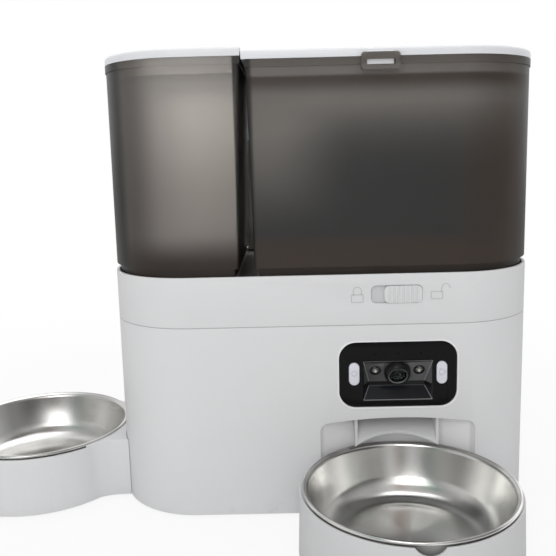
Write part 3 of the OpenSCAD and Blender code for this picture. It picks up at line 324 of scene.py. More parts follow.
def grained(name, rough, grain_size, depth, constants=None):
    """A moulded plastic with its tool's grain in gloss and relief, still without a colour."""
    material, shader, place = finish(name, constants or {})
    grain = place.noise(grain_size, 3.0, 0.6)
    (rough + 0.14 * grain).into(shader, "Roughness")
    grain.bump(shader, depth, 0.0002)
    return material, shader, place


def drifting(place, dark, light):
    """A slow drift between two tones, as pigment flows in a mould."""
    return place.noise(11.0, 3.0).blend(dark, light)


def moulded(name, dark, light, *grain):
    """A moulded plastic with nothing but the drift of its pigment for a colour."""
    material, shader, place = grained(name, *grain)
    drifting(place, dark, light).into(shader, "Base Color")
    return material


white_grain = (0.36, 1400.0, 0.12, {"Specular IOR Level": 0.35})
shell_white, shader, place = grained("shell_white", *white_grain)
cast_and_light = drifting(place, rgb(0.70, 0.703, 0.712), rgb(0.735, 0.737, 0.744))
scuffs = place.noise(38.0, 5.0, 0.7).ease(0.60, 0.72) * place.part(2).ease(0.02, 0.004)
cast_and_light = (0.35 * scuffs).blend(cast_and_light, rgb(0.55, 0.54, 0.53))
# Painted highlight: the shell is lighter on the lip round the panel opening.
opening_x, opening_y, opening_z = place.moved(at(panel_x, front_y, panel_z), millimetres).parts()
flat_w, flat_h = 31.5, 13.2
past_end, past_top = (abs(opening_x) - flat_w).most(0.0), (abs(opening_z) - flat_h).most(0.0)
painted_lip_highlight = past_end.across(past_top).ease(12.8, 11.7) * opening_y.ease(1.0, 0.2)
cast_and_light = painted_lip_highlight.blend(cast_and_light, rgb(0.86, 0.86, 0.87))
x, y, z = place.moved(at(0, 0, 0), millimetres).parts()
# Painted light: the walls of the bowl niche are lighter, as if lit.
niche = y.within(-76.9, -75.6, -48, -44) * x.within(-4, 0, 106, 108) * z.ease(92, 88)
cast_and_light = niche.blend(cast_and_light, rgb(0.88, 0.88, 0.885))
seam_z = 145.15
cast_and_light = (0.65 * abs(z - seam_z).ease(0.5, 0.2)).blend(cast_and_light, rgb(0.38, 0.38, 0.385))
# Painted shade: the deck's strip between the tanks is near black.
painted_gap_shade = x.within(-63, -60.5, -48.5, -46) * y.within(-76.6, -75.4, 75.4, 76.6) * z.ease(170, 172)
painted_gap_shade.blend(cast_and_light, rgb(0.07, 0.064, 0.06)).into(shader, "Base Color")


def on_shell_edge(p):
    """Whether a place lies on the shell's outside, apart from the panel opening."""
    round_opening = abs(p.y - front_y) < 0.1 and in_panel(p, 46, 27)
    return beyond(p) > -0.2 and not round_opening


shell_edges = softened("base_shell", (0.35, on_shell_edge))
fit(shell_edges, shell_white, "base", "white_shell", "base_shell")

# Camera panel: a gloss black moulding pushed into the shell from behind. Its face is polished,
# and the folded recess round the camera is left satin. Its upper slope and edges have painted
# light, and its upright band at the fold has painted shade.
panel_y = -77.6
lamp_side, lamp_rise = 16, 1.8
panel_black, shader, place = finish("panel_black", {"Specular IOR Level": 0.1})
along, inward, rise = place.moved(at(panel_x, panel_y, panel_z), millimetres).parts()
off_axis = abs(along)
gloss = place.noise(60.0, 3.0).blend(rgb(0.005, 0.005, 0.005), rgb(0.008, 0.008, 0.008))
satin_and_light = place.noise(90.0, 3.0).blend(rgb(0.009, 0.010, 0.013), rgb(0.013, 0.014, 0.018))
# Painted light: the upper slope is lighter grey, more so to the right, apart from the lamp holes.
painted_slope_light = rise.within(-7.9, -7.3, 9.9, 10.4) * along.ease(-32, 10, 0.4, 1.0)
from_lamp = (off_axis - lamp_side).across(1.1 * (rise - lamp_rise))
satin_and_light = (painted_slope_light * from_lamp.ease(4.0, 4.3)).blend(satin_and_light, rgb(0.098, 0.099, 0.103))
# Painted shade: the upright band at the fold is near black.
painted_fold_shade = rise.within(-10.9, -10.5, -7.9, -7.5)
satin_and_light = painted_fold_shade.blend(satin_and_light, rgb(0.004, 0.004, 0.004))
waist, shoulder = 20.5, 25.0
brow, high_fold, low_fold, sill = 9.8, -7.6, -10.8, -19.2
upper_lean, lower_lean = 0.2586, 0.5357
# Painted highlights: pale lines along the recess's slanted sides, its sill, brow and fold.
upper_side_highlight = abs(off_axis - waist - upper_lean * (rise - high_fold)).ease(0.5, 0.2)
upper_side_highlight = upper_side_highlight * rise.within(-7.8, -7.2, 9.6, 10.0)
lower_side_highlight = abs(off_axis - waist + lower_lean * (rise - low_fold)).ease(0.5, 0.2)
lower_side_highlight = lower_side_highlight * rise.within(-19.4, -19.0, -11.2, -10.6)
between_shoulders = off_axis.ease(shoulder + 0.2, shoulder - 0.2)
sill_highlight = abs(rise - sill).ease(0.45, 0.15) * between_shoulders
brow_highlight = abs(rise - brow).ease(0.4, 0.15) * between_shoulders * 0.6
fold_highlight = abs(rise - low_fold + 0.1).ease(0.4, 0.15) * off_axis.ease(waist + 0.2, waist - 0.2)
edges = upper_side_highlight.most(lower_side_highlight).most(sill_highlight).most(brow_highlight).most(0.25 * fold_highlight) * 0.65
sunk = inward.ease(0.3, 0.9)
edges.blend(sunk.blend(gloss, satin_and_light), rgb(0.26, 0.26, 0.27)).into(shader, "Base Color")
(0.12 + 0.06 * place.noise(700.0, 3.0) + 0.14 * sunk).into(shader, "Roughness")
(0.3 * inward.ease(0.02, 0.1) * rise.ease(12, 11)).into(shader, "Coat Weight")
panel_edges = softened(
    "camera_bezel",
    (0.25, lambda p: p.y < -77.5 and not in_panel(p, 27, 20)),
    (0.45, lambda p: p.y < -70 and in_panel(p, 27, 20) and p.z < 119),
)
fit(panel_edges, panel_black, "base", "panel_black", "camera_bezel")


# Camera barrel and lens: a turned black barrel screwed through the recess along its tilted
# axis, with a stepped throat, a grey retaining ring and a domed front glass over small inner ones.
# A green glint is painted on the inner ones.
def turned(name, outline, sides=96, open_ring=False):
    """A disc drawn about Z along pairs of radius and height in millimetres, or a ring."""
    radius, height = outline[0]
    bpy.ops.object.select_all(action="DESELECT")
    bpy.ops.mesh.primitive_circle_add(
        vertices=sides, radius=radius / 1000, fill_type="NGON", location=(0, 0, height / 1000)
    )
    piece = bpy.context.object
    piece.name = piece.data.name = name
    bpy.ops.object.transform_apply(location=True)
    bpy.ops.object.mode_set(mode="EDIT")
    bpy.ops.mesh.select_all(action="SELECT")
    for next_radius, next_height in outline[1:]:
        lift = {"value": (0, 0, (next_height - height) / 1000)}
        bpy.ops.mesh.extrude_region_move(TRANSFORM_OT_translate=lift)
        scale, middle = next_radius / radius, (0, 0, next_height / 1000)
        bpy.ops.transform.resize(value=(scale, scale, 1), center_override=middle)
        radius, height = next_radius, next_height
    if open_ring:
        bpy.ops.mesh.select_face_by_sides(number=4, type="GREATER", extend=False)
        bpy.ops.mesh.delete(type="ONLY_FACE")
        bpy.ops.mesh.select_mode(type="EDGE")
        bpy.ops.mesh.select_non_manifold(extend=False)
        bpy.ops.mesh.bridge_edge_loops()
    bpy.ops.mesh.select_all(action="SELECT")
    bpy.ops.mesh.normals_make_consistent(inside=False)
    bpy.ops.object.mode_set(mode="OBJECT")
    bpy.ops.object.shade_smooth_by_angle(angle=math.radians(38))
    return piece


def settle(piece, matrix):
    """Moves a piece that was made at the origin to its place, and leaves the place in its mesh."""
    pick(piece)
    piece.matrix_world = matrix
    bpy.ops.object.transform_apply(location=True, rotation=True, scale=True)


def on_recess(side, back, rise):
    """A place on the recess's upper face, its Z axis along the view of the camera."""
    recess_lean = 24.69
    facing = math.radians(90 + recess_lean)
    spot = at(panel_x + side, back, panel_z + rise)
    return Matrix.Translation(spot) @ Matrix.Rotation(facing, 4, "X")


camera_place = on_recess(0, -73.46, 0.8)
barrel = turned("barrel", [
    (9.2, -9.6), (9.3, -9.4), (9.3, 1.2), (8.9, 1.5), (8.9, 2.1), (9.3, 2.4), (9.3, 3.4),
    (8.9, 4.3), (8.2, 5.1), (7.8, 5.45), (7.35, 5.5), (7.2, 5.2), (7.15, 4.2), (6.8, 4.1),
    (6.75, 3.3), (6.45, 3.2), (6.4, 2.4), (6.15, 2.3), (6.12, 0.2), (2.6, -1.6), (0.4, -1.7),
])
settle(barrel, camera_place)
barrel_black = moulded(
    "barrel_black", rgb(0.006, 0.006, 0.006), rgb(0.010, 0.010, 0.011),
    0.22, 1600.0, 0.1, {"Specular IOR Level": 0.2},
)
fit(barrel, barrel_black, "base", "black_plastic", "camera_barrel")
ring = turned("retaining_ring", [
    (6.9, 4.15), (7.12, 4.3), (7.12, 5.0), (6.9, 5.15), (6.45, 4.9), (6.35, 4.5), (6.5, 4.2),
], open_ring=True)
settle(ring, camera_place)
ring_grey, shader, place = finish("ring_grey", {"Metallic": 0.9})
place.noise(400.0).blend(rgb(0.20, 0.20, 0.20), rgb(0.26, 0.26, 0.26)).into(shader, "Base Color")
(0.3 + 0.1 * place.noise(900.0)).into(shader, "Roughness")
fit(ring, ring_grey, "base", "black_plastic")
inner = turned("inner_glasses", [
    (5.9, 1.9), (5.9, 3.0), (5.2, 3.2), (2.9, 3.2), (2.4, 3.3), (2.1, 3.42), (1.9, 3.5),
    (1.5, 3.5), (1.4, 3.2), (1.0, 3.3), (0.5, 3.4), (0.05, 3.42),
], 48)
settle(inner, camera_place)
inner_glass_and_glint, shader, place = finish("inner_glass_and_glint", {"Specular IOR Level": 0.15})
glass_middle = camera_place @ Vector((0, 0, 0.0034))
painted_glint_middle = glass_middle + Vector((0.0021, 0, -0.0022))
rim_band = place.moved(glass_middle, (1, 1, 1.1)).away(0, 2).within(0.0011, 0.0014, 0.0020, 0.0023)
# Painted reflection: a small green glint on the inner glasses, below and right of the middle.
painted_glint = place.moved(painted_glint_middle).away(0, 2).ease(0.0009, 0.0004)
coats = rim_band.blend(rgb(0.004, 0.008, 0.007), rgb(0.22, 0.215, 0.21))
painted_glint.blend(coats, rgb(0.02, 0.22, 0.07)).into(shader, "Base Color")
(0.08 + 0.1 * place.noise(500.0)).into(shader, "Roughness")
fit(inner, inner_glass_and_glint, "base", "lens_glass")
front_glass = turned("front_glass", [
    (6.0, 3.6), (6.1, 3.7), (6.1, 4.2), (5.7, 4.45), (5.0, 4.75),
    (4.0, 5.05), (3.0, 5.23), (2.0, 5.36), (1.0, 5.43), (0.05, 5.45),
])
settle(front_glass, camera_place)
coated_glass, shader, place = finish("coated_glass", {"Transmission Weight": 1.0, "IOR": 1.2})
place.noise(200.0).blend(rgb(0.40, 0.47, 0.48), rgb(0.44, 0.51, 0.52)).into(shader, "Base Color")
(0.01 + 0.02 * place.noise(900.0)).into(shader, "Roughness")
fit(front_glass, coated_glass, "base", "lens_glass", "camera_lens")

# Infrared lamps: clear resin domes in round holes of the recess, each over a bright metal cup
# with its chip in the middle. They are pushed in from the board behind.
cup_metal, shader, place = finish("cup_metal", {"Metallic": 1.0})
place.noise(600.0).blend(rgb(0.36, 0.35, 0.33), rgb(0.46, 0.45, 0.43)).into(shader, "Base Color")
(0.25 + 0.1 * place.noise(900.0)).into(shader, "Roughness")
clear_resin, shader, place = finish("clear_resin", {"Transmission Weight": 0.92, "IOR": 1.5})
place.noise(90.0).blend(rgb(0.46, 0.46, 0.46), rgb(0.52, 0.52, 0.51)).into(shader, "Base Color")
(0.03 + 0.03 * place.noise(700.0)).into(shader, "Roughness")
for name, side, stands_for in (("left", -lamp_side, ["ir_leds"]), ("right", lamp_side, [])):
    lamp_place = on_recess(side, -73.92, lamp_rise)
    cup = turned("lamp_cup_" + name, [
        (1.9, -2.6), (1.9, -1.5), (1.75, -1.3), (1.2, -1.9), (0.55, -1.95), (0.5, -1.6),
        (0.05, -1.55),
    ], 40)
    settle(cup, lamp_place)
    dome = turned("lamp_dome_" + name, [
        (2.3, -6.0), (2.5, -5.8), (2.5, -1.0), (2.38, -0.25), (2.05, 0.42), (1.5, 1.0),
        (0.8, 1.37), (0.05, 1.5),
    ], 48)
    settle(dome, lamp_place)
    fit(cup, cup_metal, "base", "led_clear")
    fit(dome, clear_resin, "base", "led_clear", *stands_for)

# Buttons: two pale lavender keys in the panel, each on a stem that presses a switch on the
# board behind. A small sign is printed on each: a gear on the left, a talking ring on the right.
for node, body, side, sign_z, sign_scale, tooth_count, tooth_weight in (
    ("button_left", "left_button", -31.8, 109.1, 1000, 8, 1.0),
    ("button_right", "right_button", 31.8, 109.2, 820, 3, 0.6),
):
    key_white, shader, place = grained("key_" + body, 0.34, 1500.0, 0.08)
    sign = place.moved(at(panel_x + side, 0, sign_z), (sign_scale,) * 3)
    sign_r = sign.away(0, 2)
    sign_angle = sign.sum("ARCTAN2", sign.part(2), sign.part(0))
    teeth = sign.sum("COSINE", sign_angle * tooth_count).ease(0.1, 0.5)
    ring_mark = sign_r.within(1.25, 1.45, 1.75, 1.95)
    tooth_mark = teeth * sign_r.within(1.8, 1.9, 2.55, 2.75) * tooth_weight
    key_front = place.part(1).ease(at(0, -78.1, 0).y, at(0, -78.3, 0).y)
    mark = ring_mark.most(tooth_mark) * key_front * 0.45
    cast_and_light = drifting(place, rgb(0.70, 0.70, 0.77), rgb(0.73, 0.73, 0.80))
    mark.blend(cast_and_light, rgb(0.30, 0.30, 0.37)).into(shader, "Base Color")
    fit(softened(node, (0.6, lambda p: p.y < -78.3)), key_white, body, "button_white", node)

# Boards: glass fibre under a green mask that shows its copper tracks, with black parts soldered
# on. The camera board sits on the panel's posts, the main board on posts of the base plate.
board_green, shader, place = finish("board_green", {"Specular IOR Level": 0.5})
courses = {"Vector": place, "Scale": 190.0, "Mortar Size": 0.05}
tracks = place.put("TexBrick", {}, courses, "Fac")
mask = tracks.blend(rgb(0.012, 0.085, 0.040), rgb(0.030, 0.150, 0.070))
chips = place.part(2).within(0.0143, 0.0146, 0.06, 0.07)
black = place.noise(26.0).ease(0.5, 0.52).blend(rgb(0.012, 0.012, 0.013), rgb(0.05, 0.052, 0.055))
chips.blend(mask, black).into(shader, "Base Color")
(0.25 + 0.2 * place.noise(400.0)).into(shader, "Roughness")
tracks.bump(shader, 0.15, 0.0001)
dress(board_green, "camera_board", "main_board")

# Power inlet and pump: the socket sits on the main board and looks out of the rear wall, the
# pump stands on its shelf. Both housings are moulded from the same matt black plastic.
black_plastic = moulded(
    "black_plastic", rgb(0.010, 0.010, 0.011), rgb(0.017, 0.017, 0.018), 0.34, 1100.0, 0.15
)
dress(black_plastic, "power_inlet", "water_pump")

# Water tubes and nozzle: clear silicone tube pushed over moulded nipples, from the tank's
# socket to the pump and from the pump to the white nozzle over the side bowl.
tube_clear, shader, place = finish("tube_clear", {"Transmission Weight": 0.7, "IOR": 1.4})
place.noise(120.0).blend(rgb(0.80, 0.82, 0.83), rgb(0.86, 0.88, 0.89)).into(shader, "Base Color")
(0.22 + 0.12 * place.noise(500.0)).into(shader, "Roughness")
dress(tube_clear, "inlet_tube", "outlet_tube")
nozzle = softened("water_nozzle", (0.2, lambda p: p.x < -163.9))
fit(nozzle, shell_white, "base", "white_shell", "water_nozzle")

# Gear train: a steel pinion on the motor's shaft drives an acetal gear in a white case under
# the deck. The motor hangs below in a plated can.
turned_steel, shader, place = finish("turned_steel", {"Metallic": 1.0})
place.noise(90.0).blend(rgb(0.50, 0.50, 0.51), rgb(0.62, 0.62, 0.63)).into(shader, "Base Color")
tool_lines = place.moved((0, 0, 0), (60, 60, 2400)).noise(1.0)
(0.22 + 0.18 * tool_lines).into(shader, "Roughness")
dress(turned_steel, "motor_shaft", "pinion", "rotor_shaft", "hinge_pins")
motor_can, shader, place = finish("motor_can", {"Metallic": 1.0})
plating = place.noise(40.0, 4.0).blend(rgb(0.36, 0.36, 0.37), rgb(0.47, 0.47, 0.48))
plating.into(shader, "Base Color")
drawn_lines = place.moved((0, 0, 0), (1500, 1500, 60)).noise(1.0)
(0.28 + 0.16 * drawn_lines).into(shader, "Roughness")
dress(motor_can, "gear_motor")
acetal = moulded("acetal", rgb(0.72, 0.69, 0.60), rgb(0.78, 0.75, 0.66), 0.30, 900.0, 0.06)
dress(acetal, "driven_gear")
dress(shell_white, "gear_case")

# Rotor: six vanes on a hub, moulded in pale blue plastic with rounded edges. It is pressed on
# its steel shaft in the well of the deck.
rotor_blue = moulded("rotor_blue", rgb(0.50, 0.57, 0.64), rgb(0.55, 0.62, 0.69), 0.36, 1200.0, 0.1)
fit(softened("rotor", (0.5, lambda p: True)), rotor_blue, "rotor", "rotor_plastic", "rotor")

# Chute: the white drop and slide that end in a hollow lip between two cheeks over the bowl,
# held by a flange under the rotor's well. The shell's plastic, with painted shade where it
# runs back.
chute_white, shader, place = grained("chute_white", *white_grain)
# Painted shade: the chute goes darker as it runs back into the body.
painted_back_shade = place.part(1).ease(at(0, -74, 0).y, at(0, -52, 0).y)
painted_back_shade.blend(rgb(0.72, 0.722, 0.73), rgb(0.46, 0.46, 0.465)).into(shader, "Base Color")
chute_edges = softened("chute", (0.3, lambda p: p.y < -64))
fit(chute_edges, chute_white, "base", "white_shell", "chute")

# Deck: the white band above the seam with its floor, the rotor's well and the water socket,
# screwed to the columns of the base shell.
deck_edges = softened("top_deck", (0.35, lambda p: beyond(p) > -0.2 or p.z > 181.9))
fit(deck_edges, shell_white, "base", "white_shell", "top_deck")

# Lock: a slider behind the deck's front wall with a ribbed knob in a slot. White plastic, with
# shade painted in the slot; the ribs are moulded across the knob for the thumb.
lock_white, shader, place = grained("lock_white", *white_grain)
# Painted shade: the slider is darker where it lies back in the slot.
painted_slot_shade = place.part(1).ease(at(0, -78.6, 0).y, at(0, -77.8, 0).y)
painted_slot_shade.blend(rgb(0.71, 0.713, 0.72), rgb(0.63, 0.632, 0.64)).into(shader, "Base Color")
lock_edges = softened("lock_slider", (0.25, lambda p: p.y < -79.3))
fit(lock_edges, lock_white, "lock", "white_shell", "lock_slider")


# Padlock signs beside the slot: a shut one on the left and an open one on the right, raised
# by a hair from the deck's band in the same white plastic, painted darker for their shade.
def plate(name, centre, width, height, corner):
    """A flat plate in millimetres, round at its corners and facing front, left in edit mode."""
    bpy.ops.object.select_all(action="DESELECT")
    bpy.ops.mesh.primitive_plane_add(size=0.001, location=centre, rotation=(math.pi / 2, 0, 0))
    piece = bpy.context.object
    piece.name = piece.data.name = name
    piece.scale = (width, height, 1)
    bpy.ops.object.transform_apply(location=True, rotation=True, scale=True)
    bpy.ops.object.mode_set(mode="EDIT")
    bpy.ops.mesh.select_all(action="SELECT")
    bpy.ops.mesh.bevel(offset=corner / 1000, affect="VERTICES", segments=5)
    bpy.ops.mesh.select_all(action="SELECT")
    return piece


def choose(piece, test):
    """Leaves a piece in edit mode with just the points selected whose place passes the test."""
    bpy.ops.object.mode_set(mode="EDIT")
    bpy.ops.mesh.select_mode(type="VERT")
    bpy.ops.mesh.select_all(action="DESELECT")
    bpy.ops.object.mode_set(mode="OBJECT")
    for point in piece.data.vertices:
        point.select = test(point.co)
    bpy.ops.object.mode_set(mode="EDIT")


# Painted shade: the raised signs are a darker grey than the deck they stand on.
sign_shaded_white = moulded("sign_shaded_white", rgb(0.52, 0.52, 0.53), rgb(0.56, 0.56, 0.57), *white_grain)
line_w, line_out, line_root = 0.55, 0.22, 0.1
root_y = front_y + line_root
to_front = {"value": (0, -(line_out + line_root) / 1000, 0)}
for name, left, low, wide, high, hoop_x, hoop_r, legs in (
    ("sign_shut", 19.4, 161.6, 8.9, 6.0, 23.9, 2.9, (2.9, 2.9)),
    ("sign_open", 76.2, 163.0, 8.7, 5.8, 86.9, 2.9, (3.0, 0.6)),
):
    box = plate(name, at(left + wide / 2, root_y, low + high / 2), wide, high, 0.6)
    bpy.ops.mesh.inset(thickness=line_w / 1000)
    bpy.ops.mesh.delete(type="ONLY_FACE")
    bpy.ops.mesh.select_all(action="SELECT")
    bpy.ops.mesh.extrude_region_move(TRANSFORM_OT_translate=to_front)
    bpy.ops.object.mode_set(mode="OBJECT")
    hoop_middle = at(hoop_x, root_y, low + high + legs[0] - line_w)
    bpy.ops.object.select_all(action="DESELECT")
    bpy.ops.mesh.primitive_circle_add(
        vertices=40, radius=hoop_r / 1000, location=hoop_middle, rotation=(math.pi / 2, 0, 0)
    )
    hoop = bpy.context.object
    bpy.ops.object.transform_apply(location=True, rotation=True)
    choose(hoop, lambda p: p.z < hoop_middle.z - 1e-6)
    bpy.ops.mesh.delete(type="VERT")
    for end, leg in zip((-1, 1), legs):
        choose(hoop, lambda p: abs(p.z - hoop_middle.z) < 1e-5 and (p.x - hoop_middle.x) * end > 0)
        bpy.ops.mesh.extrude_region_move(TRANSFORM_OT_translate={"value": (0, 0, -leg / 1000)})
    bpy.ops.mesh.select_all(action="SELECT")
    bpy.ops.mesh.extrude_region_move(TRANSFORM_OT_translate=to_front)
    bpy.ops.mesh.select_all(action="SELECT")
    bpy.ops.object.mode_set(mode="OBJECT")
    band = hoop.modifiers.new("band", "SOLIDIFY")
    band.thickness = line_w / 1000
    band.offset = 0
    bpy.ops.object.modifier_apply(modifier="band")
    hoop.select_set(True)
    box.select_set(True)
    bpy.context.view_layer.objects.active = box
    bpy.ops.object.join()
    bpy.ops.object.mode_set(mode="EDIT")
    bpy.ops.mesh.select_all(action="SELECT")
    bpy.ops.mesh.normals_make_consistent(inside=False)
    bpy.ops.object.mode_set(mode="OBJECT")
    fit(box, sign_shaded_white, "base", "white_shell")

# Base plate: the white floor of the body in the shell's plastic, screwed into the columns from
# below, with slots that let warm air out.
fit(softened("base_plate"), shell_white, "base", "white_shell", "base_plate")


# Feet: round rubber pads with a hollow and a groove below, four pressed into the base plate
# and four smaller ones under each bowl holder.
def spread(first, name, shifts):
    """Copies a piece to further places, each a shift from the first, and joins them into one."""
    pick(first)
    for shift in shifts:
        twin = bpy.data.objects.new(name, first.data.copy())
        scene.collection.objects.link(twin)
        twin.location = shift
        twin.select_set(True)
    bpy.ops.object.transform_apply(location=True)
    bpy.ops.object.join()
    first.name = first.data.name = name


front_bowl_x, front_bowl_y, side_bowl_x, side_bowl_y = 53, -129, -236.6, 0
quarters = [(-1, -1), (-1, 1), (1, -1), (1, 1)]
rubber = moulded("rubber", rgb(0.022, 0.022, 0.023), rgb(0.034, 0.034, 0.035), 0.62, 800.0, 0.25)
for node, body, pad_r, pad_h, mid_x, mid_y, reach_x, reach_y in (
    ("feet", "base", 9, 3.0, 0, 0, 115, 45),
    ("front_holder_feet", "front_holder", 6, 2.5, front_bowl_x, front_bowl_y, 33.94, 33.94),
    ("side_holder_feet", "side_holder", 6, 2.5, side_bowl_x, side_bowl_y, 33.94, 33.94),
):
    spots = [at(mid_x + sx * reach_x, mid_y + sy * reach_y, 0) for sx, sy in quarters]
    pad = turned(node + "_pad", [
        (0.5, 0.35), (pad_r * 0.35, 0.35), (pad_r * 0.42, 0.0), (pad_r * 0.58, 0.0),
        (pad_r * 0.64, 0.4), (pad_r * 0.7, 0.4), (pad_r * 0.76, 0.0), (pad_r - 0.5, 0.0),
        (pad_r - 0.1, 0.4), (pad_r, 0.9), (pad_r, pad_h), (0.5, pad_h),
    ], 48)
    settle(pad, Matrix.Translation(spots[0]))
    spread(pad, node + "_pads", [spot - spots[0] for spot in spots[1:]])
    fit(pad, rubber, body, "foot_rubber", node)

# Screws: zinc plated pan heads with a cross recess, four up through the base plate and four
# down through the deck into the columns of the shell.
zinc, shader, place = finish("zinc", {"Metallic": 1.0})
plating = place.noise(160.0, 4.0).blend(rgb(0.46, 0.47, 0.49), rgb(0.60, 0.60, 0.60))
plating.into(shader, "Base Color")
(0.26 + 0.16 * place.noise(700.0, 3.0)).into(shader, "Roughness")
screw_x, screw_y = 130, 40
for node, low, shank, from_below in (
    ("base_screws", 3.5, 14.0, True), ("deck_screws", 133.0, 43.7, False)
):
    bolt = turned(node + "_bolt", [
        (0.3, 0.0), (1.2, 0.3), (1.5, 1.2), (1.5, shank), (2.9, shank), (2.9, shank + 0.9),
        (2.6, shank + 1.5), (2.0, shank + 1.9), (0.9, shank + 2.0), (0.3, shank + 2.0),
    ], 40)
    for wide, deep in ((3.2, 0.7), (0.7, 3.2)):
        bpy.ops.object.select_all(action="DESELECT")
        bpy.ops.mesh.primitive_cube_add(size=0.001, location=(0, 0, (shank + 1.7) / 1000))
        cross = bpy.context.object
        cross.scale = (wide, deep, 1.6)
        bpy.ops.object.transform_apply(location=True, scale=True)
        pick(bolt)
        slot_cut = bolt.modifiers.new("slot_cut", "BOOLEAN")
        slot_cut.operation = "DIFFERENCE"
        slot_cut.object = cross
        bpy.ops.object.modifier_apply(modifier="slot_cut")
        bpy.data.objects.remove(cross)
    tip = Matrix.Translation(at(-screw_x, -screw_y, low + shank if from_below else low))
    settle(bolt, tip @ Matrix.Rotation(math.pi if from_below else 0, 4, "X"))
    over, back = 2 * screw_x / 1000, 2 * screw_y / 1000
    spread(bolt, node + "_set", [(over, 0, 0), (0, back, 0), (over, back, 0)])
    fit(bolt, zinc, "base", "screw_steel", node)

# Valve: a grey cap screwed on the water tank's neck, a plunger that the deck's pin lifts, and
# a steel spring above it that shortens as the plunger comes up.
valve_grey = moulded(
    "valve_grey", rgb(0.20, 0.20, 0.215), rgb(0.25, 0.25, 0.265), 0.38, 1200.0, 0.12
)
dress(valve_grey, "valve_cap", "valve_plunger")
coil = softened("valve_spring")
fit(coil, turned_steel, "water_tank", "screw_steel", "valve_spring")
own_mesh(coil)


# Tanks: smoke brown plastic, clear but frosted by the tool on the inside. The narrow water
# tank lets more light through than the wide food tank. Light and shade are painted on both,
# so that they darken to their foot and edges.
def smoked(name, weight, rough):
    """A frosted clear plastic without colour, its slow drift, and its X and Z in millimetres."""
    clearness = {"Transmission Weight": weight, "IOR": 1.3, "Specular IOR Level": 0.15}
    material, shader, place = finish(name, clearness)
    grain = place.noise(1300.0, 3.0, 0.6)
    (rough + 0.12 * grain).into(shader, "Roughness")
    grain.bump(shader, 0.06, 0.0002)
    drift = 0.95 + 0.1 * place.noise(7.0, 3.0)
    x, _, z = place.moved(at(0, 0, 0), millimetres).parts()
    return material, shader, drift, x, z


def on_wall(p):
    """Whether a place lies on a tank's outer wall, clear of its foot and its lid."""
    return beyond(p) > -0.9 and 200 < p.z < 320


smoke_pale, shader, drift, x, z = smoked("smoke_pale", 0.8, 0.34)
# Painted light and shade on the water tank: lighter mid-height, darker at its foot and sides.
lit_across = x.ease(-138, -110, 0.34, 1.0) * x.ease(-90, -58, 1.0, 0.88)
lit_up = z.ease(190, 214) * z.ease(228, 308, 0.66, 1.0) * z.ease(316, 326, 1.0, 0.85)
smoke_and_light = (drift * lit_across * lit_up).blend(rgb(0.142, 0.115, 0.100), rgb(0.76, 0.725, 0.69))
painted_ends_shade = x.ease(-147, -138) * x.ease(-59.4, -61.0, 0.15, 1.0)
painted_ends_shade.blend(rgb(0.05, 0.047, 0.044), smoke_and_light).into(shader, "Base Color")
water_sides = softened(
    "water_tank", (1.6, lambda p: on_wall(p) and p.x > -64), (0.3, lambda p: p.z < 187.6)
)
fit(water_sides, smoke_pale, "water_tank", "smoke_tank", "water_tank")
smoke_deep, shader, drift, x, z = smoked("smoke_deep", 0.7, 0.34)
# Painted light: the food tank is lighter towards the top, at its left middle and under the lid.
climb = ((z - 240) / 62).most(0.0).least(1.0)
glow = 0.75 * x.ease(-40, 25, 1.0, 0.0) * z.within(205, 270, 282, 306)
lip_band = 0.85 * z.ease(319, 321.5) * z.ease(328, 325.5, 0.6, 1.0)
lit_up = (climb * climb * climb + glow) * (z.ease(318, 306, 0.1, 1.0) + lip_band)
lit_across = x.ease(95, 140, 1.0, 0.55)
# Painted shade: browner in the dark at the foot, top and right, near black at the sides.
warm = z.ease(215, 200).most(z.ease(300, 316)).most(x.ease(80, 130))
brown = warm.blend(rgb(0.098, 0.098, 0.098), rgb(0.138, 0.107, 0.088))
smoke_and_light = (drift * lit_up * lit_across).blend(brown, rgb(0.36, 0.338, 0.315))
painted_ends_shade = x.ease(-49, -46, 0.2, 1.0) * x.ease(150, 134, 0.35, 1.0) * z.ease(184, 188, 0.45, 1.0)
painted_ends_shade.blend(rgb(0.03, 0.028, 0.026), smoke_and_light).into(shader, "Base Color")
food_sides = softened("food_tank", (1.6, lambda p: on_wall(p) and p.x < -47))
fit(food_sides, smoke_deep, "food_tank", "smoke_tank", "food_tank")

# Lids: white plates with a rounded edge and a skirt inside the tank, a trace bluer and
# smoother than the shell. The food lid swings on two rear pins, the water lid lifts off, and
# each has a grey silicone seal round its skirt.
lid_white = moulded(
    "lid_white", rgb(0.74, 0.755, 0.78), rgb(0.77, 0.782, 0.80),
    0.28, 1900.0, 0.08, {"Specular IOR Level": 0.4},
)
food_top = softened(
    "food_lid", (0.3, lambda p: p.y < 66 and (beyond(p) > -0.2 or p.x < -53.5))
)
fit(food_top, lid_white, "food_lid", "lid_white", "food_lid")
water_top = softened("water_lid", (0.3, lambda p: beyond(p) > -0.2 or p.x > -55.5))
fit(water_top, lid_white, "water_lid", "lid_white", "water_lid")
silicone = moulded("silicone", rgb(0.58, 0.59, 0.61), rgb(0.64, 0.65, 0.67), 0.45, 700.0, 0.1)
dress(silicone, "food_lid_seal", "water_lid_seal")

# Bowl holders: two white cups that hook into the body by a tongue, each with a half-moon
# finger notch under the bowl's rim. The side one has a flat neck; the front one's white has
# painted shade.
holder_shaded_white = moulded(
    "holder_shaded_white", rgb(0.60, 0.602, 0.61), rgb(0.63, 0.632, 0.638), *white_grain
)
front_edges = softened("front_holder", (0.4, lambda p: True))
fit(front_edges, holder_shaded_white, "front_holder", "white_shell", "front_holder")


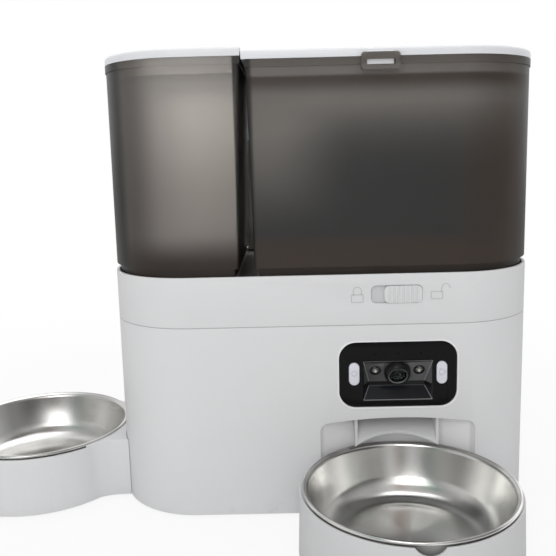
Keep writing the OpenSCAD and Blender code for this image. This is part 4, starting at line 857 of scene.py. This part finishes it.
def on_side_edge(p):
    """Whether a place lies on the side holder's foot, its rim or the round edge of its notch."""
    out = math.hypot(p.x - side_bowl_x, p.y - side_bowl_y)
    on_rim = p.z > 47.2 and out > 73.3
    on_notch = p.z > 40 and p.x < -205 and out > 73
    return p.z < 1.6 or on_rim or on_notch


side_edges = softened("side_holder", (0.4, on_side_edge))
fit(side_edges, shell_white, "side_holder", "white_shell", "side_holder")

# Bowls: spun from stainless sheet on a lathe, with a rolled rim and a stamped floor. The
# brushing runs round the axis, so reflections stretch round it; wedges and bands of reflection
# are also painted into the colour, lighter on the front bowl than on the side bowl.
lean = math.radians(18)
heel_r, heel_x, heel_z, sheet = 20, 42.49, 30.8, 0.9
brush_scale, wedge_cos, wedge_sin = 2600.0, 0.54, 0.84


def heel(radius):
    """The quarter round from the floor up into the leaning wall, as radii and heights."""
    turns = [(math.pi / 2 - lean) * step / 14 for step in range(15)]
    return [(heel_x + radius * math.sin(a), heel_z - radius * math.cos(a)) for a in turns]


underside = [(0.2, 10.3), (30.0, 10.3), (40.0, 9.95)]
rim = [
    (69.0, 45.0), (69.6, 46.3), (70.6, 46.2), (71.6, 46.1), (72.2, 46.6), (72.4, 47.3),
    (72.2, 48.0), (71.6, 48.5), (70.9, 48.5), (70.5, 48.1), (70.1, 47.8), (69.4, 47.5),
    (68.7, 46.9), (68.2, 46.0), (68.0, 44.6),
]
inside_floor = [(36.0, 10.85), (26.0, 11.0), (12.0, 11.25), (0.2, 11.3)]
bowl_outline = underside + heel(heel_r + sheet) + rim + heel(heel_r)[::-1] + inside_floor
for node, bowl_x, bowl_y, dull, bright, flat, shine, rough, stretch in (
    ("front_bowl", front_bowl_x, front_bowl_y, 0.54, 0.96, 0.72, 0.98, 0.17, 0.7),
    ("side_bowl", side_bowl_x, side_bowl_y, 0.50, 0.74, 0.46, 0.60, 0.20, 0.85),
):
    bowl = turned(node + "_spun", bowl_outline, 180)
    settle(bowl, Matrix.Translation(at(bowl_x, bowl_y, 0)))
    steel, shader, place = finish(node + "_steel", {"Anisotropic": stretch})
    from_axis = place.moved(at(bowl_x, bowl_y, 0))
    out, up_wall = from_axis.away(0, 1), from_axis.part(2)
    fine = out.put("CombineXYZ", {}, {0: out * brush_scale, 1: up_wall * brush_scale})
    strokes = fine.noise(1.0, 3.0, 0.6)
    cos_turn, sin_turn = from_axis.part(0) / out, from_axis.part(1) / out
    spoke = out.put("CombineXYZ", {}, {0: cos_turn, 1: sin_turn})
    # Painted reflections: the walls go dull and bright by direction round the axis.
    painted_sheen = 0.5 + (spoke.noise(1.7, 1.0).ease(0.36, 0.64) - 0.5) * out.ease(0.01, 0.05)
    dull_wall = rgb(dull, 0.99 * dull, 0.96 * dull)
    bright_wall = rgb(bright, 0.993 * bright, 0.973 * bright)
    wall_tone = painted_sheen.blend(dull_wall, bright_wall)
    # Painted highlights: two bright wedges on the floor of each bowl.
    right_wedge_highlight = (wedge_cos * cos_turn + wedge_sin * sin_turn).ease(0.90, 0.985)
    left_wedge_highlight = (wedge_cos * sin_turn - wedge_sin * cos_turn).ease(0.75, 0.97)
    painted_wedges = right_wedge_highlight.most(0.8 * left_wedge_highlight) * out.ease(0.002, 0.012)
    base_tone = painted_wedges.blend(rgb(flat, flat, 0.98 * flat), rgb(shine, shine, 0.98 * shine))
    out.ease(0.044, 0.058).blend(base_tone, wall_tone).into(shader, "Base Color")
    outside = (out - 0.325 * up_wall).ease(0.0538, 0.0541) * up_wall.ease(0.0455, 0.0445)
    (1 - 0.6 * outside).into(shader, "Metallic")
    (rough + 0.08 * strokes + 0.2 * outside).into(shader, "Roughness")
    strokes.bump(shader, 0.012, 0.0001)
    fit(bowl, steel, node, "bowl_steel", node)
